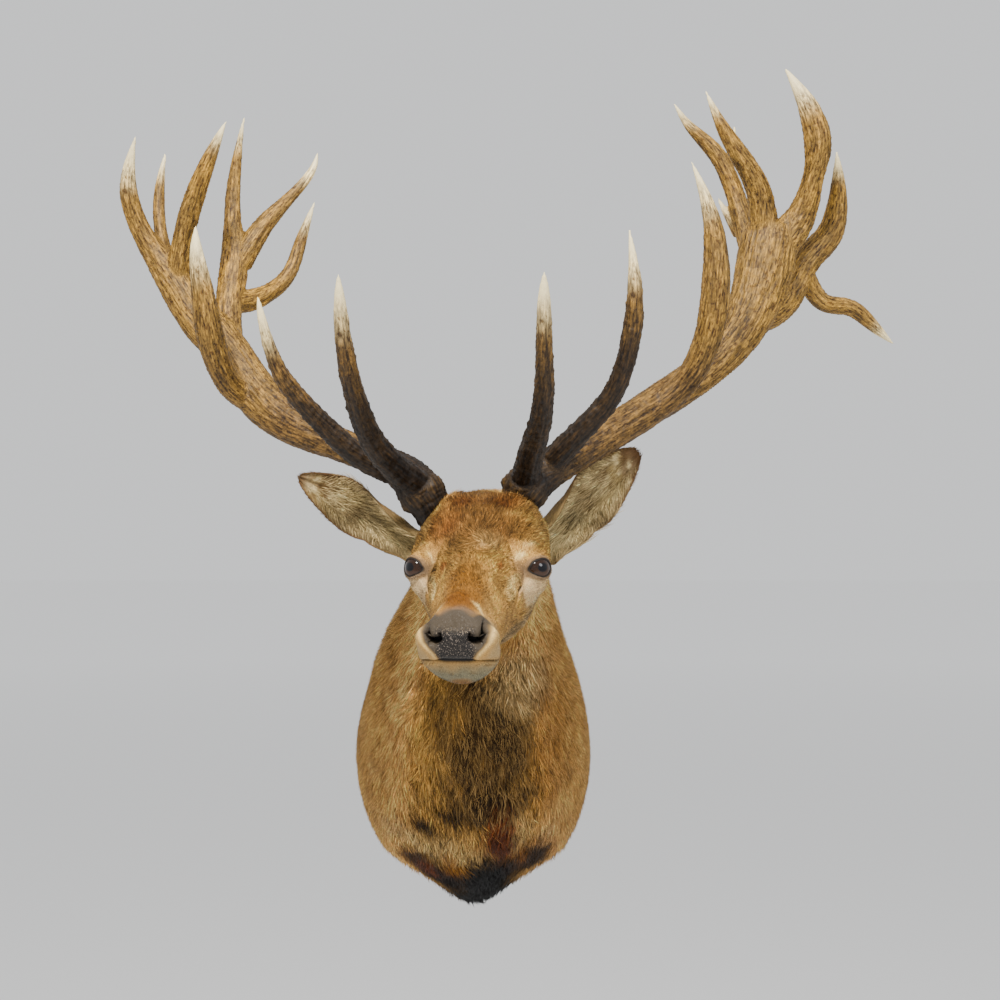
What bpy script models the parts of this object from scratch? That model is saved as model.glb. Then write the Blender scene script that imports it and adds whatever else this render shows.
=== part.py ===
"""Red deer stag shoulder mount, life size, facing -Y from the wall plane Y = 0.

The origin is the centre of the backboard's rear face.  The body is one surface, swept from the
nose to the wall through key sections, and parted with thin cuts; the ears, eyes and antlers are
fitted to it.  All sizes are in metres and reach to the outside of the coat.
"""
import math

import bpy
import numpy as np

GAP = 0.0003                    # clearance between neighbouring solids

# The head's own frame: lateral, forward to the nose, up to the forehead, from between the eyes.
EYE_MIDPOINT = (0.0137, -0.550, 0.271)
HEAD_PITCH = math.radians(20.0)         # nose down
HEAD_YAW = math.radians(6.0)            # nose towards -X

# Head sections: forward, top, widest level, bottom, half width, upper pinch, lower pinch.
HEAD_SECTIONS = (
    (0.2235, 0.018, 0.001, -0.022, 0.0320, 0.00, 0.00),
    (0.2130, 0.027, 0.000, -0.035, 0.0430, 0.08, -0.06),
    (0.1990, 0.032, -0.003, -0.057, 0.0440, 0.14, -0.14),
    (0.1820, 0.034, -0.008, -0.067, 0.0420, 0.18, -0.16),
    (0.1580, 0.034, -0.012, -0.069, 0.0395, 0.16, -0.10),
    (0.1280, 0.035, -0.017, -0.069, 0.0415, 0.14, -0.06),
    (0.0930, 0.038, -0.018, -0.073, 0.0460, 0.14, -0.02),
    (0.0600, 0.042, -0.018, -0.084, 0.0540, 0.16, 0.02),
    (0.0300, 0.047, -0.012, -0.097, 0.0680, 0.16, 0.04),
    (0.0020, 0.051, -0.002, -0.108, 0.0815, 0.16, 0.12),
    (-0.0260, 0.056, 0.002, -0.116, 0.0860, 0.10, 0.14),
    (-0.0600, 0.060, 0.002, -0.121, 0.0830, -0.04, 0.12),
)
NOSE_CAP = 0.0055               # how far the nose bulges past its first section
MUZZLE_CUT = 7                  # head section at which the muzzle meets the skull

# Neck and chest sections, as far as the wall: top (x, y, z), bottom (x, y, z), level of the
# widest place from the bottom (0 to 1), half width, upper pinch, lower pinch, keel of the breast.
BODY_SECTIONS = (
    ((0.027, -0.446, 0.365), (0.013, -0.4430, 0.152), 0.55, 0.080, -0.10, 0.08, 0.00),
    ((0.026, -0.388, 0.355), (0.012, -0.4415, 0.138), 0.46, 0.086, 0.04, 0.04, 0.00),
    ((0.020, -0.328, 0.330), (0.010, -0.4400, 0.116), 0.42, 0.101, 0.12, 0.02, 0.00),
    ((0.008, -0.252, 0.306), (0.006, -0.4280, 0.052), 0.42, 0.121, 0.14, 0.00, 0.00),
    ((0.005, -0.175, 0.291), (0.005, -0.3980, -0.012), 0.42, 0.138, 0.14, 0.00, 0.06),
    ((0.005, -0.108, 0.281), (0.007, -0.3440, -0.084), 0.42, 0.150, 0.12, 0.00, 0.14),
    ((0.003, -0.055, 0.275), (0.005, -0.2500, -0.152), 0.42, 0.161, 0.10, 0.00, 0.24),
    ((0.001, -0.020, 0.271), (0.002, -0.1250, -0.209), 0.42, 0.170, 0.08, 0.00, 0.34),
    ((-0.001, -0.001, 0.268), (0.002, -0.0010, -0.247), 0.42, 0.174, 0.06, 0.00, 0.40),
)
NECK_CUT = 14                   # section at which the head meets the neck
CHEST_CUT = 17                  # section at which the neck meets the chest
YAW_LEFT_PER_SECTION = 0.6      # share of the head's turn that is left one section further back
CUT_SHARE = 0.03                # share of a row's length that a thin cut takes

# Local swellings and hollows of the head: centre, radii (lateral, forward, up), height.
HEAD_FORMS = (
    ((0.074, 0.010, 0.025), (0.022, 0.024, 0.012), 0.0085),     # brow ridge over the eye
    ((0.078, 0.012, -0.021), (0.018, 0.022, 0.009), 0.0060),    # lower lid
    ((0.084, -0.010, -0.032), (0.020, 0.036, 0.012), 0.0020),   # cheek bone
    ((0.062, 0.038, 0.002), (0.014, 0.014, 0.012), -0.0065),   # hollow before the eye
    ((0.062, -0.015, -0.070), (0.026, 0.045, 0.030), 0.0030),   # chewing muscle
    ((0.042, 0.205, 0.004), (0.014, 0.014, 0.012), 0.0030),     # nostril wing
    ((0.025, 0.226, 0.004), (0.008, 0.010, 0.007), -0.0060),    # nostril
    ((0.040, 0.160, -0.026), (0.016, 0.040, 0.010), 0.0030),    # upper lip
    ((0.042, -0.105, 0.034), (0.022, 0.030, 0.030), 0.0110),    # fur round the antler's root
)

EYE_RADIUS = 0.0190
EYE_PLACE = (0.0680, 0.005, -0.001)      # lateral, forward, up; mirrored for the other eye

# Side outline of the lower jaw in the head frame: forward, up.
JAW_OUTLINE = ((0.260, -0.0270), (0.215, -0.0275), (0.150, -0.0330), (0.080, -0.0440), (0.030, -0.0600),
               (-0.012, -0.0800), (-0.040, -0.1700), (0.260, -0.1700))
JAW_HALF_WIDTH = 0.110

# Ears: root, tip, direction in which the bowl opens, greatest half width, bend of the midrib.
EAR_LEFT = {"root": (-0.068, -0.415, 0.299), "tip": (-0.217, -0.350, 0.379),
            "opens": (-0.10, -1.00, -0.25), "half_width": 0.039, "bend": 0.010}
EAR_RIGHT = {"root": (0.092, -0.410, 0.299), "tip": (0.218, -0.332, 0.412),
             "opens": (0.22, -1.00, -0.22), "half_width": 0.0455, "bend": 0.010}
EAR_THICKNESS = 0.0075
EAR_ROOT_SPREAD = math.radians(125.0)   # half the bowl's arc where it leaves the head
EAR_TIP_SPREAD = math.radians(35.0)     # and near its tip
EAR_RIM_ANGLE = math.radians(62.0)      # the wall thins towards the rim as the cosine up to this
EAR_START = 0.22                # share of the leaf's outline that lies behind the root
EAR_OUTLINE_POWER = 0.62        # below 1 makes the leaf fuller
EAR_ROOT_WIDENING = 0.25
EAR_TIP_THINNING = 0.45
EAR_TIP_WIDTH = 0.06            # share of the half width that is left at the tip
EAR_FLATTEST = 0.62             # least radius of the bowl, as a share of its half width
EAR_STATIONS = 11
EAR_ARC_STEPS = 6

BOARD_THICKNESS = 0.019
BOARD_INSET = 0.016
BOARD_STEPS = 32
HANGER_SIZE = (0.060, 0.003, 0.036)
HANGER_HEIGHT = 0.170
HANGER_SLOT_RADIUS = 0.005
HANGER_SLOT_LENGTH = 0.012
HANGER_SLOT_STEPS = 6
HOOK_ROOM = 1.4                 # the hole behind the slot, wider than it by this factor
HOOK_DEPTH_SHARE = 0.7          # and this share of the board deep
CUT_PAST = 0.010                # how far a cutter runs past the face it opens
ROOTS_NEAR = 1.3                # branches closer than this share of their radii are cut apart
EYE_ROWS = 8
EYE_COLUMNS = 12

BODY_COLUMNS = 32
HEAD_ROWS_PER_SECTION = 2
CAP_ROWS = 2

# Antlers: each branch is a list of (x, y, z, radius) from its root to its tip, with its flatness
# (depth of the section over its breadth) and the branch that it grows from.
ANTLERS = {
    "antler_right": {
        "beam": (None, 0.80, ((0.050, -0.448, 0.326, 0.0240), (0.066, -0.456, 0.352, 0.0250),
                              (0.080, -0.452, 0.374, 0.0275), (0.113, -0.426, 0.396, 0.0236),
                              (0.185, -0.368, 0.438, 0.0222), (0.272, -0.305, 0.494, 0.0240),
                              (0.335, -0.262, 0.541, 0.0250), (0.381, -0.236, 0.606, 0.0330),
                              (0.405, -0.222, 0.688, 0.0400), (0.413, -0.221, 0.728, 0.0300))),
        "brow": ("beam", 0.95, ((0.070, -0.462, 0.372, 0.0170), (0.078, -0.510, 0.408, 0.0152),
                                (0.090, -0.568, 0.457, 0.0128), (0.091, -0.625, 0.521, 0.0100),
                                (0.090, -0.656, 0.577, 0.0076), (0.090, -0.670, 0.608, 0.0012))),
        "bez": ("beam", 0.95, ((0.096, -0.440, 0.388, 0.0165), (0.130, -0.470, 0.425, 0.0142),
                               (0.166, -0.490, 0.463, 0.0132), (0.189, -0.514, 0.508, 0.0120),
                               (0.201, -0.543, 0.585, 0.0103), (0.194, -0.550, 0.673, 0.0012))),
        "trez": ("beam", 0.90, ((0.240, -0.330, 0.466, 0.0170), (0.281, -0.338, 0.503, 0.0170),
                                (0.306, -0.360, 0.553, 0.0178), (0.316, -0.382, 0.620, 0.0184),
                                (0.310, -0.394, 0.704, 0.0118), (0.283, -0.400, 0.780, 0.0013))),
        "crown_front": ("beam", 0.85, ((0.400, -0.225, 0.700, 0.0220), (0.394, -0.240, 0.752, 0.0180),
                                       (0.375, -0.262, 0.792, 0.0150), (0.342, -0.284, 0.836, 0.0105),
                                       (0.312, -0.295, 0.893, 0.0013))),
        "crown_rear": ("beam", 0.85, ((0.397, -0.214, 0.652, 0.0195), (0.388, -0.168, 0.703, 0.0160),
                                      (0.372, -0.141, 0.776, 0.0135), (0.344, -0.140, 0.837, 0.0122),
                                      (0.308, -0.148, 0.872, 0.0076), (0.283, -0.155, 0.906, 0.0013))),
        "snag_low": ("crown_rear", 1.0, ((0.376, -0.148, 0.722, 0.0090), (0.359, -0.135, 0.755, 0.0056),
                                         (0.348, -0.125, 0.778, 0.0014))),
        "snag_high": ("crown_rear", 1.0, ((0.360, -0.140, 0.814, 0.0090), (0.370, -0.120, 0.856, 0.0050),
                                          (0.374, -0.108, 0.883, 0.0014))),
        "crown_top": ("beam", 0.80, ((0.418, -0.222, 0.694, 0.0280), (0.450, -0.229, 0.738, 0.0200),
                                     (0.463, -0.247, 0.785, 0.0146), (0.467, -0.262, 0.827, 0.0182),
                                     (0.452, -0.272, 0.876, 0.0140), (0.419, -0.280, 0.927, 0.0013))),
        "crown_back": ("beam", 0.85, ((0.392, -0.226, 0.600, 0.0230), (0.432, -0.200, 0.627, 0.0220),
                                      (0.465, -0.180, 0.682, 0.0195), (0.499, -0.175, 0.722, 0.0180),
                                      (0.507, -0.190, 0.782, 0.0110), (0.502, -0.205, 0.829, 0.0014))),
        "crown_drop": ("crown_back", 0.90, ((0.461, -0.183, 0.664, 0.0140), (0.490, -0.165, 0.626, 0.0126),
                                            (0.530, -0.142, 0.621, 0.0120), (0.565, -0.127, 0.599, 0.0095),
                                            (0.600, -0.110, 0.572, 0.0015))),
    },
    "antler_left": {
        "beam": (None, 0.80, ((-0.034, -0.442, 0.322, 0.0240), (-0.048, -0.452, 0.346, 0.0250),
                              (-0.064, -0.447, 0.368, 0.0265), (-0.096, -0.412, 0.393, 0.0215),
                              (-0.168, -0.360, 0.422, 0.0210), (-0.227, -0.320, 0.447, 0.0260),
                              (-0.276, -0.284, 0.482, 0.0300), (-0.310, -0.258, 0.524, 0.0300),
                              (-0.341, -0.240, 0.568, 0.0300), (-0.356, -0.235, 0.594, 0.0220))),
        "brow": ("beam", 0.95, ((-0.062, -0.462, 0.370, 0.0175), (-0.098, -0.507, 0.400, 0.0162),
                                (-0.124, -0.560, 0.448, 0.0137), (-0.138, -0.620, 0.517, 0.0105),
                                (-0.142, -0.652, 0.574, 0.0072), (-0.143, -0.665, 0.606, 0.0012))),
        "bez": ("beam", 0.95, ((-0.092, -0.420, 0.384, 0.0155), (-0.140, -0.448, 0.408, 0.0140),
                               (-0.196, -0.485, 0.463, 0.0122), (-0.230, -0.515, 0.512, 0.0092),
                               (-0.246, -0.532, 0.568, 0.0054), (-0.250, -0.537, 0.595, 0.0012))),
        "trez": ("beam", 0.90, ((-0.290, -0.278, 0.480, 0.0160), (-0.319, -0.308, 0.505, 0.0160),
                                (-0.335, -0.348, 0.560, 0.0178), (-0.342, -0.366, 0.612, 0.0150),
                                (-0.349, -0.376, 0.664, 0.0095), (-0.350, -0.378, 0.702, 0.0013))),
        "crown_outer": ("beam", 0.75, ((-0.330, -0.246, 0.552, 0.0250), (-0.371, -0.231, 0.595, 0.0250),
                                       (-0.410, -0.221, 0.657, 0.0225), (-0.444, -0.222, 0.707, 0.0145),
                                       (-0.463, -0.242, 0.770, 0.0120), (-0.448, -0.268, 0.838, 0.0013))),
        "crown_spike": ("crown_outer", 0.95, ((-0.412, -0.219, 0.672, 0.0115), (-0.426, -0.204, 0.718, 0.0088),
                                              (-0.431, -0.186, 0.776, 0.0076), (-0.424, -0.178, 0.833, 0.0013))),
        "crown_front": ("crown_outer", 0.90, ((-0.400, -0.222, 0.652, 0.0170), (-0.388, -0.242, 0.705, 0.0146),
                                              (-0.370, -0.270, 0.752, 0.0138), (-0.345, -0.290, 0.806, 0.0096),
                                              (-0.322, -0.300, 0.852, 0.0013))),
        "crown_stem": ("beam", 0.75, ((-0.322, -0.248, 0.545, 0.0210), (-0.331, -0.220, 0.604, 0.0180),
                                      (-0.327, -0.194, 0.672, 0.0194), (-0.330, -0.183, 0.730, 0.0128),
                                      (-0.328, -0.180, 0.798, 0.0090), (-0.313, -0.190, 0.881, 0.0014))),
        "crown_inner": ("crown_stem", 0.90, ((-0.320, -0.190, 0.676, 0.0170), (-0.291, -0.180, 0.726, 0.0140),
                                             (-0.256, -0.160, 0.770, 0.0088), (-0.226, -0.149, 0.808, 0.0062),
                                             (-0.216, -0.145, 0.839, 0.0014))),
        "crown_side": ("crown_stem", 0.90, ((-0.328, -0.208, 0.624, 0.0175), (-0.300, -0.185, 0.628, 0.0148),
                                            (-0.260, -0.158, 0.659, 0.0108), (-0.240, -0.147, 0.712, 0.0086),
                                            (-0.220, -0.145, 0.769, 0.0014))),
    },
}
JOINED_BRANCHES = {"snag_low", "snag_high"}     # small points that stay part of their parent
BEAM_SIDES = 12
TINE_SIDES = 8
RINGS_PER_KEY = 2

MATERIALS = {                   # base colour, roughness, metallic
    "coat": ((0.36, 0.19, 0.08, 1.0), 0.80, 0.0),
    "face": ((0.30, 0.15, 0.07, 1.0), 0.80, 0.0),
    "chest": ((0.40, 0.24, 0.11, 1.0), 0.85, 0.0),
    "jaw": ((0.42, 0.36, 0.28, 1.0), 0.80, 0.0),
    "ear": ((0.32, 0.22, 0.14, 1.0), 0.80, 0.0),
    "eye": ((0.02, 0.01, 0.005, 1.0), 0.05, 0.0),
    "antler": ((0.38, 0.24, 0.11, 1.0), 0.55, 0.0),
    "plywood": ((0.55, 0.40, 0.24, 1.0), 0.70, 0.0),
    "steel": ((0.60, 0.60, 0.58, 1.0), 0.35, 1.0),
}


def clear_scene():
    for old in list(bpy.data.objects):
        bpy.data.objects.remove(old, do_unlink=True)


def make_material(name):
    colour, roughness, metallic = MATERIALS[name]
    material = bpy.data.materials.new(name)
    material.use_nodes = True
    shader = material.node_tree.nodes["Principled BSDF"]
    shader.inputs["Base Color"].default_value = colour
    shader.inputs["Roughness"].default_value = roughness
    shader.inputs["Metallic"].default_value = metallic
    return material


def add_object(name, points, faces, material=None):
    mesh = bpy.data.meshes.new(name)
    mesh.from_pydata([tuple(p) for p in points], [], faces)
    mesh.update()
    mesh.shade_smooth()
    mesh.set_sharp_from_angle(angle=math.radians(50.0))
    obj = bpy.data.objects.new(name, mesh)
    bpy.context.scene.collection.objects.link(obj)
    if material is not None:
        mesh.materials.append(material)
    return obj


def as_cutter(obj):
    obj.hide_render = True
    obj.display_type = "WIRE"
    return obj


def add_boolean(obj, cutter, operation):
    modifier = obj.modifiers.new(operation.lower() + "_" + cutter.name, "BOOLEAN")
    modifier.operation = operation
    modifier.solver = "EXACT"
    modifier.object = cutter


def ring_faces(rows, columns, first=0):
    """Triangles between rings of points, outward when they turn anticlockwise about the path."""
    faces = []
    for row in range(rows - 1):
        for column in range(columns):
            following = (column + 1) % columns
            a = first + row * columns + column
            b = first + row * columns + following
            faces.append((a, b, b + columns))
            faces.append((a, b + columns, a + columns))
    return faces


def closed_sweep(rings):
    """Points and faces of a closed body from rings of points, its two ends closed by fans."""
    rows, columns, _ = rings.shape
    points = list(rings.reshape(-1, 3))
    faces = ring_faces(rows, columns)
    start = len(points)
    points.append(rings[0].mean(axis=0))
    points.append(rings[-1].mean(axis=0))
    last = (rows - 1) * columns
    for column in range(columns):
        following = (column + 1) % columns
        faces.append((start, following, column))
        faces.append((start + 1, last + column, last + following))
    return points, faces


def prism_faces(count):
    """Faces of a prism whose points are its near outline and then its far one."""
    faces = [tuple(range(count)), tuple(range(2 * count - 1, count - 1, -1))]
    for index in range(count):
        following = (index + 1) % count
        faces.append((following, index, index + count, following + count))
    return faces


def cubic_spline(keys, places):
    """Natural cubic spline through rows of numbers, read at fractional row numbers."""
    keys = np.asarray(keys, dtype=float)
    count = len(keys)
    system = np.eye(count)
    target = np.zeros_like(keys)
    for row in range(1, count - 1):
        system[row, row - 1:row + 2] = (1.0, 4.0, 1.0)
        target[row] = 6.0 * (keys[row - 1] - 2.0 * keys[row] + keys[row + 1])
    bend = np.linalg.solve(system, target)
    places = np.asarray(places, dtype=float)
    low = np.clip(np.floor(places).astype(int), 0, count - 2)
    t = (places - low)[:, None]
    r = 1.0 - t
    cubic = (r ** 3 - r) * bend[low] + (t ** 3 - t) * bend[low + 1]
    return r * keys[low] + t * keys[low + 1] + cubic / 6.0


def head_axes():
    yaw_sin = math.sin(HEAD_YAW)
    yaw_cos = math.cos(HEAD_YAW)
    pitch_sin = math.sin(HEAD_PITCH)
    pitch_cos = math.cos(HEAD_PITCH)
    lateral = np.array((yaw_cos, -yaw_sin, 0.0))
    forward = np.array((-yaw_sin * pitch_cos, -yaw_cos * pitch_cos, -pitch_sin))
    up = np.array((-yaw_sin * pitch_sin, -yaw_cos * pitch_sin, pitch_cos))
    return np.array((lateral, forward, up))


AXES = head_axes()


def from_head(point):
    """World place of a point, or an array of points, given in the head's frame."""
    return np.asarray(point) @ AXES + EYE_MIDPOINT


def to_head(point):
    return (np.asarray(point) - EYE_MIDPOINT) @ AXES.T


def key_sections():
    """Every key section as one row: top, bottom, level, half width, pinches, keel, turn."""
    rows = []
    for forward, top, widest, bottom, width, upper, lower in HEAD_SECTIONS:
        level = (widest - bottom) / (top - bottom)
        rows.append((*from_head((0.0, forward, top)), *from_head((0.0, forward, bottom)),
                     level, width, upper, lower, 0.0, HEAD_YAW))
    turn = HEAD_YAW
    for top, bottom, level, width, upper, lower, keel in BODY_SECTIONS:
        turn *= YAW_LEFT_PER_SECTION
        rows.append((*top, *bottom, level, width, upper, lower, keel, turn))
    return rows


def smooth_step(low, high, value):
    t = np.clip((value - low) / (high - low), 0.0, 1.0)
    return t * t * (3.0 - 2.0 * t)


def section_points(rows, columns):
    """Rings of points: an oval about the widest level, pinched towards its top and bottom."""
    angle = -np.linspace(0.0, 2.0 * math.pi, columns, endpoint=False)[None, :]
    across = np.cos(angle)
    along = np.sin(angle)
    top = rows[:, None, 0:3]
    bottom = rows[:, None, 3:6]
    level = rows[:, None, 6]
    width = rows[:, None, 7]
    pinch = np.where(along > 0.0, rows[:, None, 8], rows[:, None, 9])
    reach = np.where(along > 0.0, 1.0 - level, level)
    height = level + reach * along
    side = width * across * (1.0 - pinch * smooth_step(0.0, 0.6, np.abs(along)))
    side *= 1.0 - rows[:, None, 10] * smooth_step(0.6, 0.97, -along)
    turn = rows[:, None, 11]
    lateral = np.stack((np.cos(turn), -np.sin(turn), 0.0 * turn), axis=-1)
    return bottom + height[..., None] * (top - bottom) + side[..., None] * lateral


def surface_normals(rings):
    along = np.gradient(rings, axis=0)
    around = np.roll(rings, -1, axis=1) - np.roll(rings, 1, axis=1)
    normals = np.cross(around, along)
    length = np.linalg.norm(normals, axis=-1, keepdims=True)
    return normals / np.maximum(length, 1e-9)


def head_relief(points):
    """Height of the head's local forms at points of its surface: a sum of soft bells."""
    local = to_head(points)
    local[..., 0] = np.abs(local[..., 0])
    height = np.zeros(points.shape[:-1])
    for centre, radii, amount in HEAD_FORMS:
        distance = ((local - centre) / radii) ** 2
        height += amount * np.exp(-distance.sum(axis=-1))
    return height


def body_rings(first, last, grow=0.0):
    """The coat's surface between two key sections, with the nose closed if it starts there."""
    rows_per_section = HEAD_ROWS_PER_SECTION
    count = int(round((last - first) * rows_per_section)) + 1
    rows = cubic_spline(key_sections(), np.linspace(first, last, count))
    rings = section_points(rows, BODY_COLUMNS)
    if first == 0:
        centre = rings[0].mean(axis=0)
        caps = []
        for step in range(1, CAP_ROWS + 1):
            angle = math.radians(90.0) * step / (CAP_ROWS + 1)
            bulge = NOSE_CAP * math.sin(math.radians(90.0) - angle)
            scale = math.sin(angle)
            caps.append(centre + (rings[0] - centre) * scale + AXES[1] * bulge)
        rings = np.concatenate((np.array(caps), rings))
    normals = surface_normals(rings)
    return rings + normals * (head_relief(rings)[..., None] + grow)


def body_part(name, first, last, material, grow=0.0):
    rings = body_rings(first, last, grow)
    if first > 0:
        rings[0] += (rings[1] - rings[0]) * CUT_SHARE
    points, faces = closed_sweep(rings)
    if first == 0:
        points[-2] = from_head((0.0, HEAD_SECTIONS[0][0] + NOSE_CAP + grow, 0.0))
    return add_object(name, points, faces, material)


def offset_outline(outline, distance):
    """An anticlockwise outline moved outward; each corner moves along the mean of its edges."""
    outline = np.asarray(outline)
    before = outline - np.roll(outline, 1, axis=0)
    after = np.roll(outline, -1, axis=0) - outline
    before /= np.linalg.norm(before, axis=1, keepdims=True)
    after /= np.linalg.norm(after, axis=1, keepdims=True)
    outward = np.stack((before[:, 1] + after[:, 1], -before[:, 0] - after[:, 0]), axis=-1)
    half_cosine = (1.0 + (before * after).sum(axis=1)) / 2.0
    outward /= np.linalg.norm(outward, axis=1, keepdims=True) * np.sqrt(half_cosine)[:, None]
    return outline + outward * distance


def jaw_prism(name, grow):
    """The lower jaw's side outline, carried across the whole head."""
    outline = offset_outline(JAW_OUTLINE, grow)
    half = JAW_HALF_WIDTH + grow
    points = [from_head((-half, f, u)) for f, u in outline]
    points += [from_head((half, f, u)) for f, u in outline]
    return as_cutter(add_object(name, points, prism_faces(len(outline))))


def eyeball(name, centre, radius, material=None):
    """A ball of latitude rings about the upright axis."""
    rings = []
    for row in range(1, EYE_ROWS):
        angle = math.pi * row / EYE_ROWS
        turn = np.linspace(0.0, 2.0 * math.pi, EYE_COLUMNS, endpoint=False)
        ring = np.stack((np.cos(turn) * math.sin(angle), np.sin(turn) * math.sin(angle),
                         np.full(EYE_COLUMNS, math.cos(angle))), axis=-1)
        rings.append(centre + radius * ring)
    rings = np.array(rings)[::-1]
    points, faces = closed_sweep(rings)
    points[-2] = centre - np.array((0.0, 0.0, radius))
    points[-1] = centre + np.array((0.0, 0.0, radius))
    return add_object(name, points, faces, material)


def ear_part(name, ear, material):
    """A leaf rolled into a bowl: a wide arc in the middle, nearly a tube at the root."""
    root = np.array(ear["root"])
    tip = np.array(ear["tip"])
    axis = (tip - root) / np.linalg.norm(tip - root)
    opens = np.array(ear["opens"])
    opens = opens - axis * (opens @ axis)
    opens /= np.linalg.norm(opens)
    side = np.cross(opens, axis)
    rings = []
    for t in np.linspace(0.0, 1.0, EAR_STATIONS):
        leaf = math.sin(math.pi * (EAR_START + (1.0 - EAR_START) * t)) if t < 1.0 else 0.0
        leaf = max(leaf ** EAR_OUTLINE_POWER, EAR_TIP_WIDTH)
        half_width = ear["half_width"] * leaf * (1.0 + EAR_ROOT_WIDENING * (1.0 - t))
        opening = smooth_step(0.0, 0.75, np.array(t))
        spread = EAR_ROOT_SPREAD + (EAR_TIP_SPREAD - EAR_ROOT_SPREAD) * opening
        radius = half_width * max(1.0 / spread, EAR_FLATTEST)
        middle = root + (tip - root) * t - opens * ear["bend"] * math.sin(math.pi * t)
        angles = np.linspace(-spread, spread, EAR_ARC_STEPS + 1)
        wall = min(EAR_THICKNESS * (1.0 - EAR_TIP_THINNING * t), 0.5 * half_width)
        rim = np.cos(angles / spread * EAR_RIM_ANGLE)
        outer = [middle + opens * radius * (1.0 - math.cos(a)) + side * radius * math.sin(a)
                 for a in angles]
        inside = radius - wall * rim
        inner = [middle + opens * (radius - r * math.cos(a)) + side * r * math.sin(a)
                 for a, r in zip(angles[::-1], inside[::-1])]
        rings.append(outer + inner)
    rings = np.array(rings)
    columns = rings.shape[1]
    faces = ring_faces(len(rings), columns)
    last = (len(rings) - 1) * columns
    for step in range(EAR_ARC_STEPS):
        across = columns - 1 - step
        faces.append((step + 1, step, across, across - 1))
        faces.append((last + step, last + step + 1, last + across - 1, last + across))
    return add_object(name, rings.reshape(-1, 3), faces, material)


def branch_rings(keys, flatness, sides, grow=0.0):
    """A tapering tube through the keys, whose sections are ovals turned to the path."""
    keys = np.asarray(keys)
    count = (len(keys) - 1) * RINGS_PER_KEY + 1
    path = cubic_spline(keys, np.linspace(0.0, len(keys) - 1.0, count))
    tangent = np.gradient(path[:, :3], axis=0)
    tangent /= np.linalg.norm(tangent, axis=1, keepdims=True)
    broad = np.cross(tangent, (0.0, 1.0, 0.0))
    broad /= np.linalg.norm(broad, axis=1, keepdims=True)
    deep = np.cross(tangent, broad)
    turn = np.linspace(0.0, 2.0 * math.pi, sides, endpoint=False)
    radius = path[:, 3][:, None, None]
    oval = (np.cos(turn)[None, :, None] * broad[:, None, :]
            + flatness * np.sin(turn)[None, :, None] * deep[:, None, :])
    rings = path[:, None, :3] + radius * oval
    return rings + surface_normals(rings) * grow


def branch_object(name, branch, sides, material=None, grow=0.0):
    _, flatness, keys = branch
    points, faces = closed_sweep(branch_rings(keys, flatness, sides, grow))
    return add_object(name, points, faces, material)


def roots_meet(branch, other):
    """Whether two branches leave the same parent so close together that they run into each other."""
    if branch[0] != other[0]:
        return False
    root = np.array(branch[2][0])
    other_root = np.array(other[2][0])
    return np.linalg.norm(root[:3] - other_root[:3]) < ROOTS_NEAR * (root[3] + other_root[3])


def make_antler(prefix, branches, head_cutter, material):
    """Each branch is cut to fit what it grows from and the neighbours made before it."""
    parts = {}
    cutters = {}
    for key, branch in branches.items():
        sides = BEAM_SIDES if branch[0] is None else TINE_SIDES
        name = prefix + "_" + key
        parts[key] = branch_object(name, branch, sides, material)
        if key in JOINED_BRANCHES:
            add_boolean(parts[branch[0]], as_cutter(parts[key]), "UNION")
            continue
        cutters[key] = as_cutter(branch_object("cut_" + name, branch, sides, grow=GAP))
        if branch[0] is None:
            add_boolean(parts[key], head_cutter, "DIFFERENCE")
            continue
        for other, cutter in cutters.items():
            if other == branch[0] or (other != key and roots_meet(branch, branches[other])):
                add_boolean(parts[key], cutter, "DIFFERENCE")


def board_outline(grow):
    """The chest's last section, drawn in by the inset."""
    rows = cubic_spline(key_sections(), [len(HEAD_SECTIONS) + len(BODY_SECTIONS) - 1.0])
    ring = section_points(rows, BOARD_STEPS)[0][::-1, [0, 2]]
    return offset_outline(ring, grow - BOARD_INSET)


def slab(name, outline, front, back, material=None):
    """A flat plate: an outline in X and Z, given anticlockwise from the front, between two depths."""
    points = [(x, front, z) for x, z in outline] + [(x, back, z) for x, z in outline]
    return add_object(name, points, prism_faces(len(outline)), material)


def rectangle(width, height, centre_height):
    x = width / 2.0
    z = height / 2.0
    return [(-x, centre_height - z), (x, centre_height - z), (x, centre_height + z), (-x, centre_height + z)]


def slot_outline(radius, length, centre_height):
    """A round-ended slot that stands upright."""
    outline = []
    for step in range(HANGER_SLOT_STEPS):
        angle = math.pi + math.pi * step / (HANGER_SLOT_STEPS - 1)
        outline.append((radius * math.cos(angle), centre_height + radius * math.sin(angle)))
    for step in range(HANGER_SLOT_STEPS):
        angle = math.pi * step / (HANGER_SLOT_STEPS - 1)
        outline.append((radius * math.cos(angle), centre_height + length + radius * math.sin(angle)))
    return outline


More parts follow.
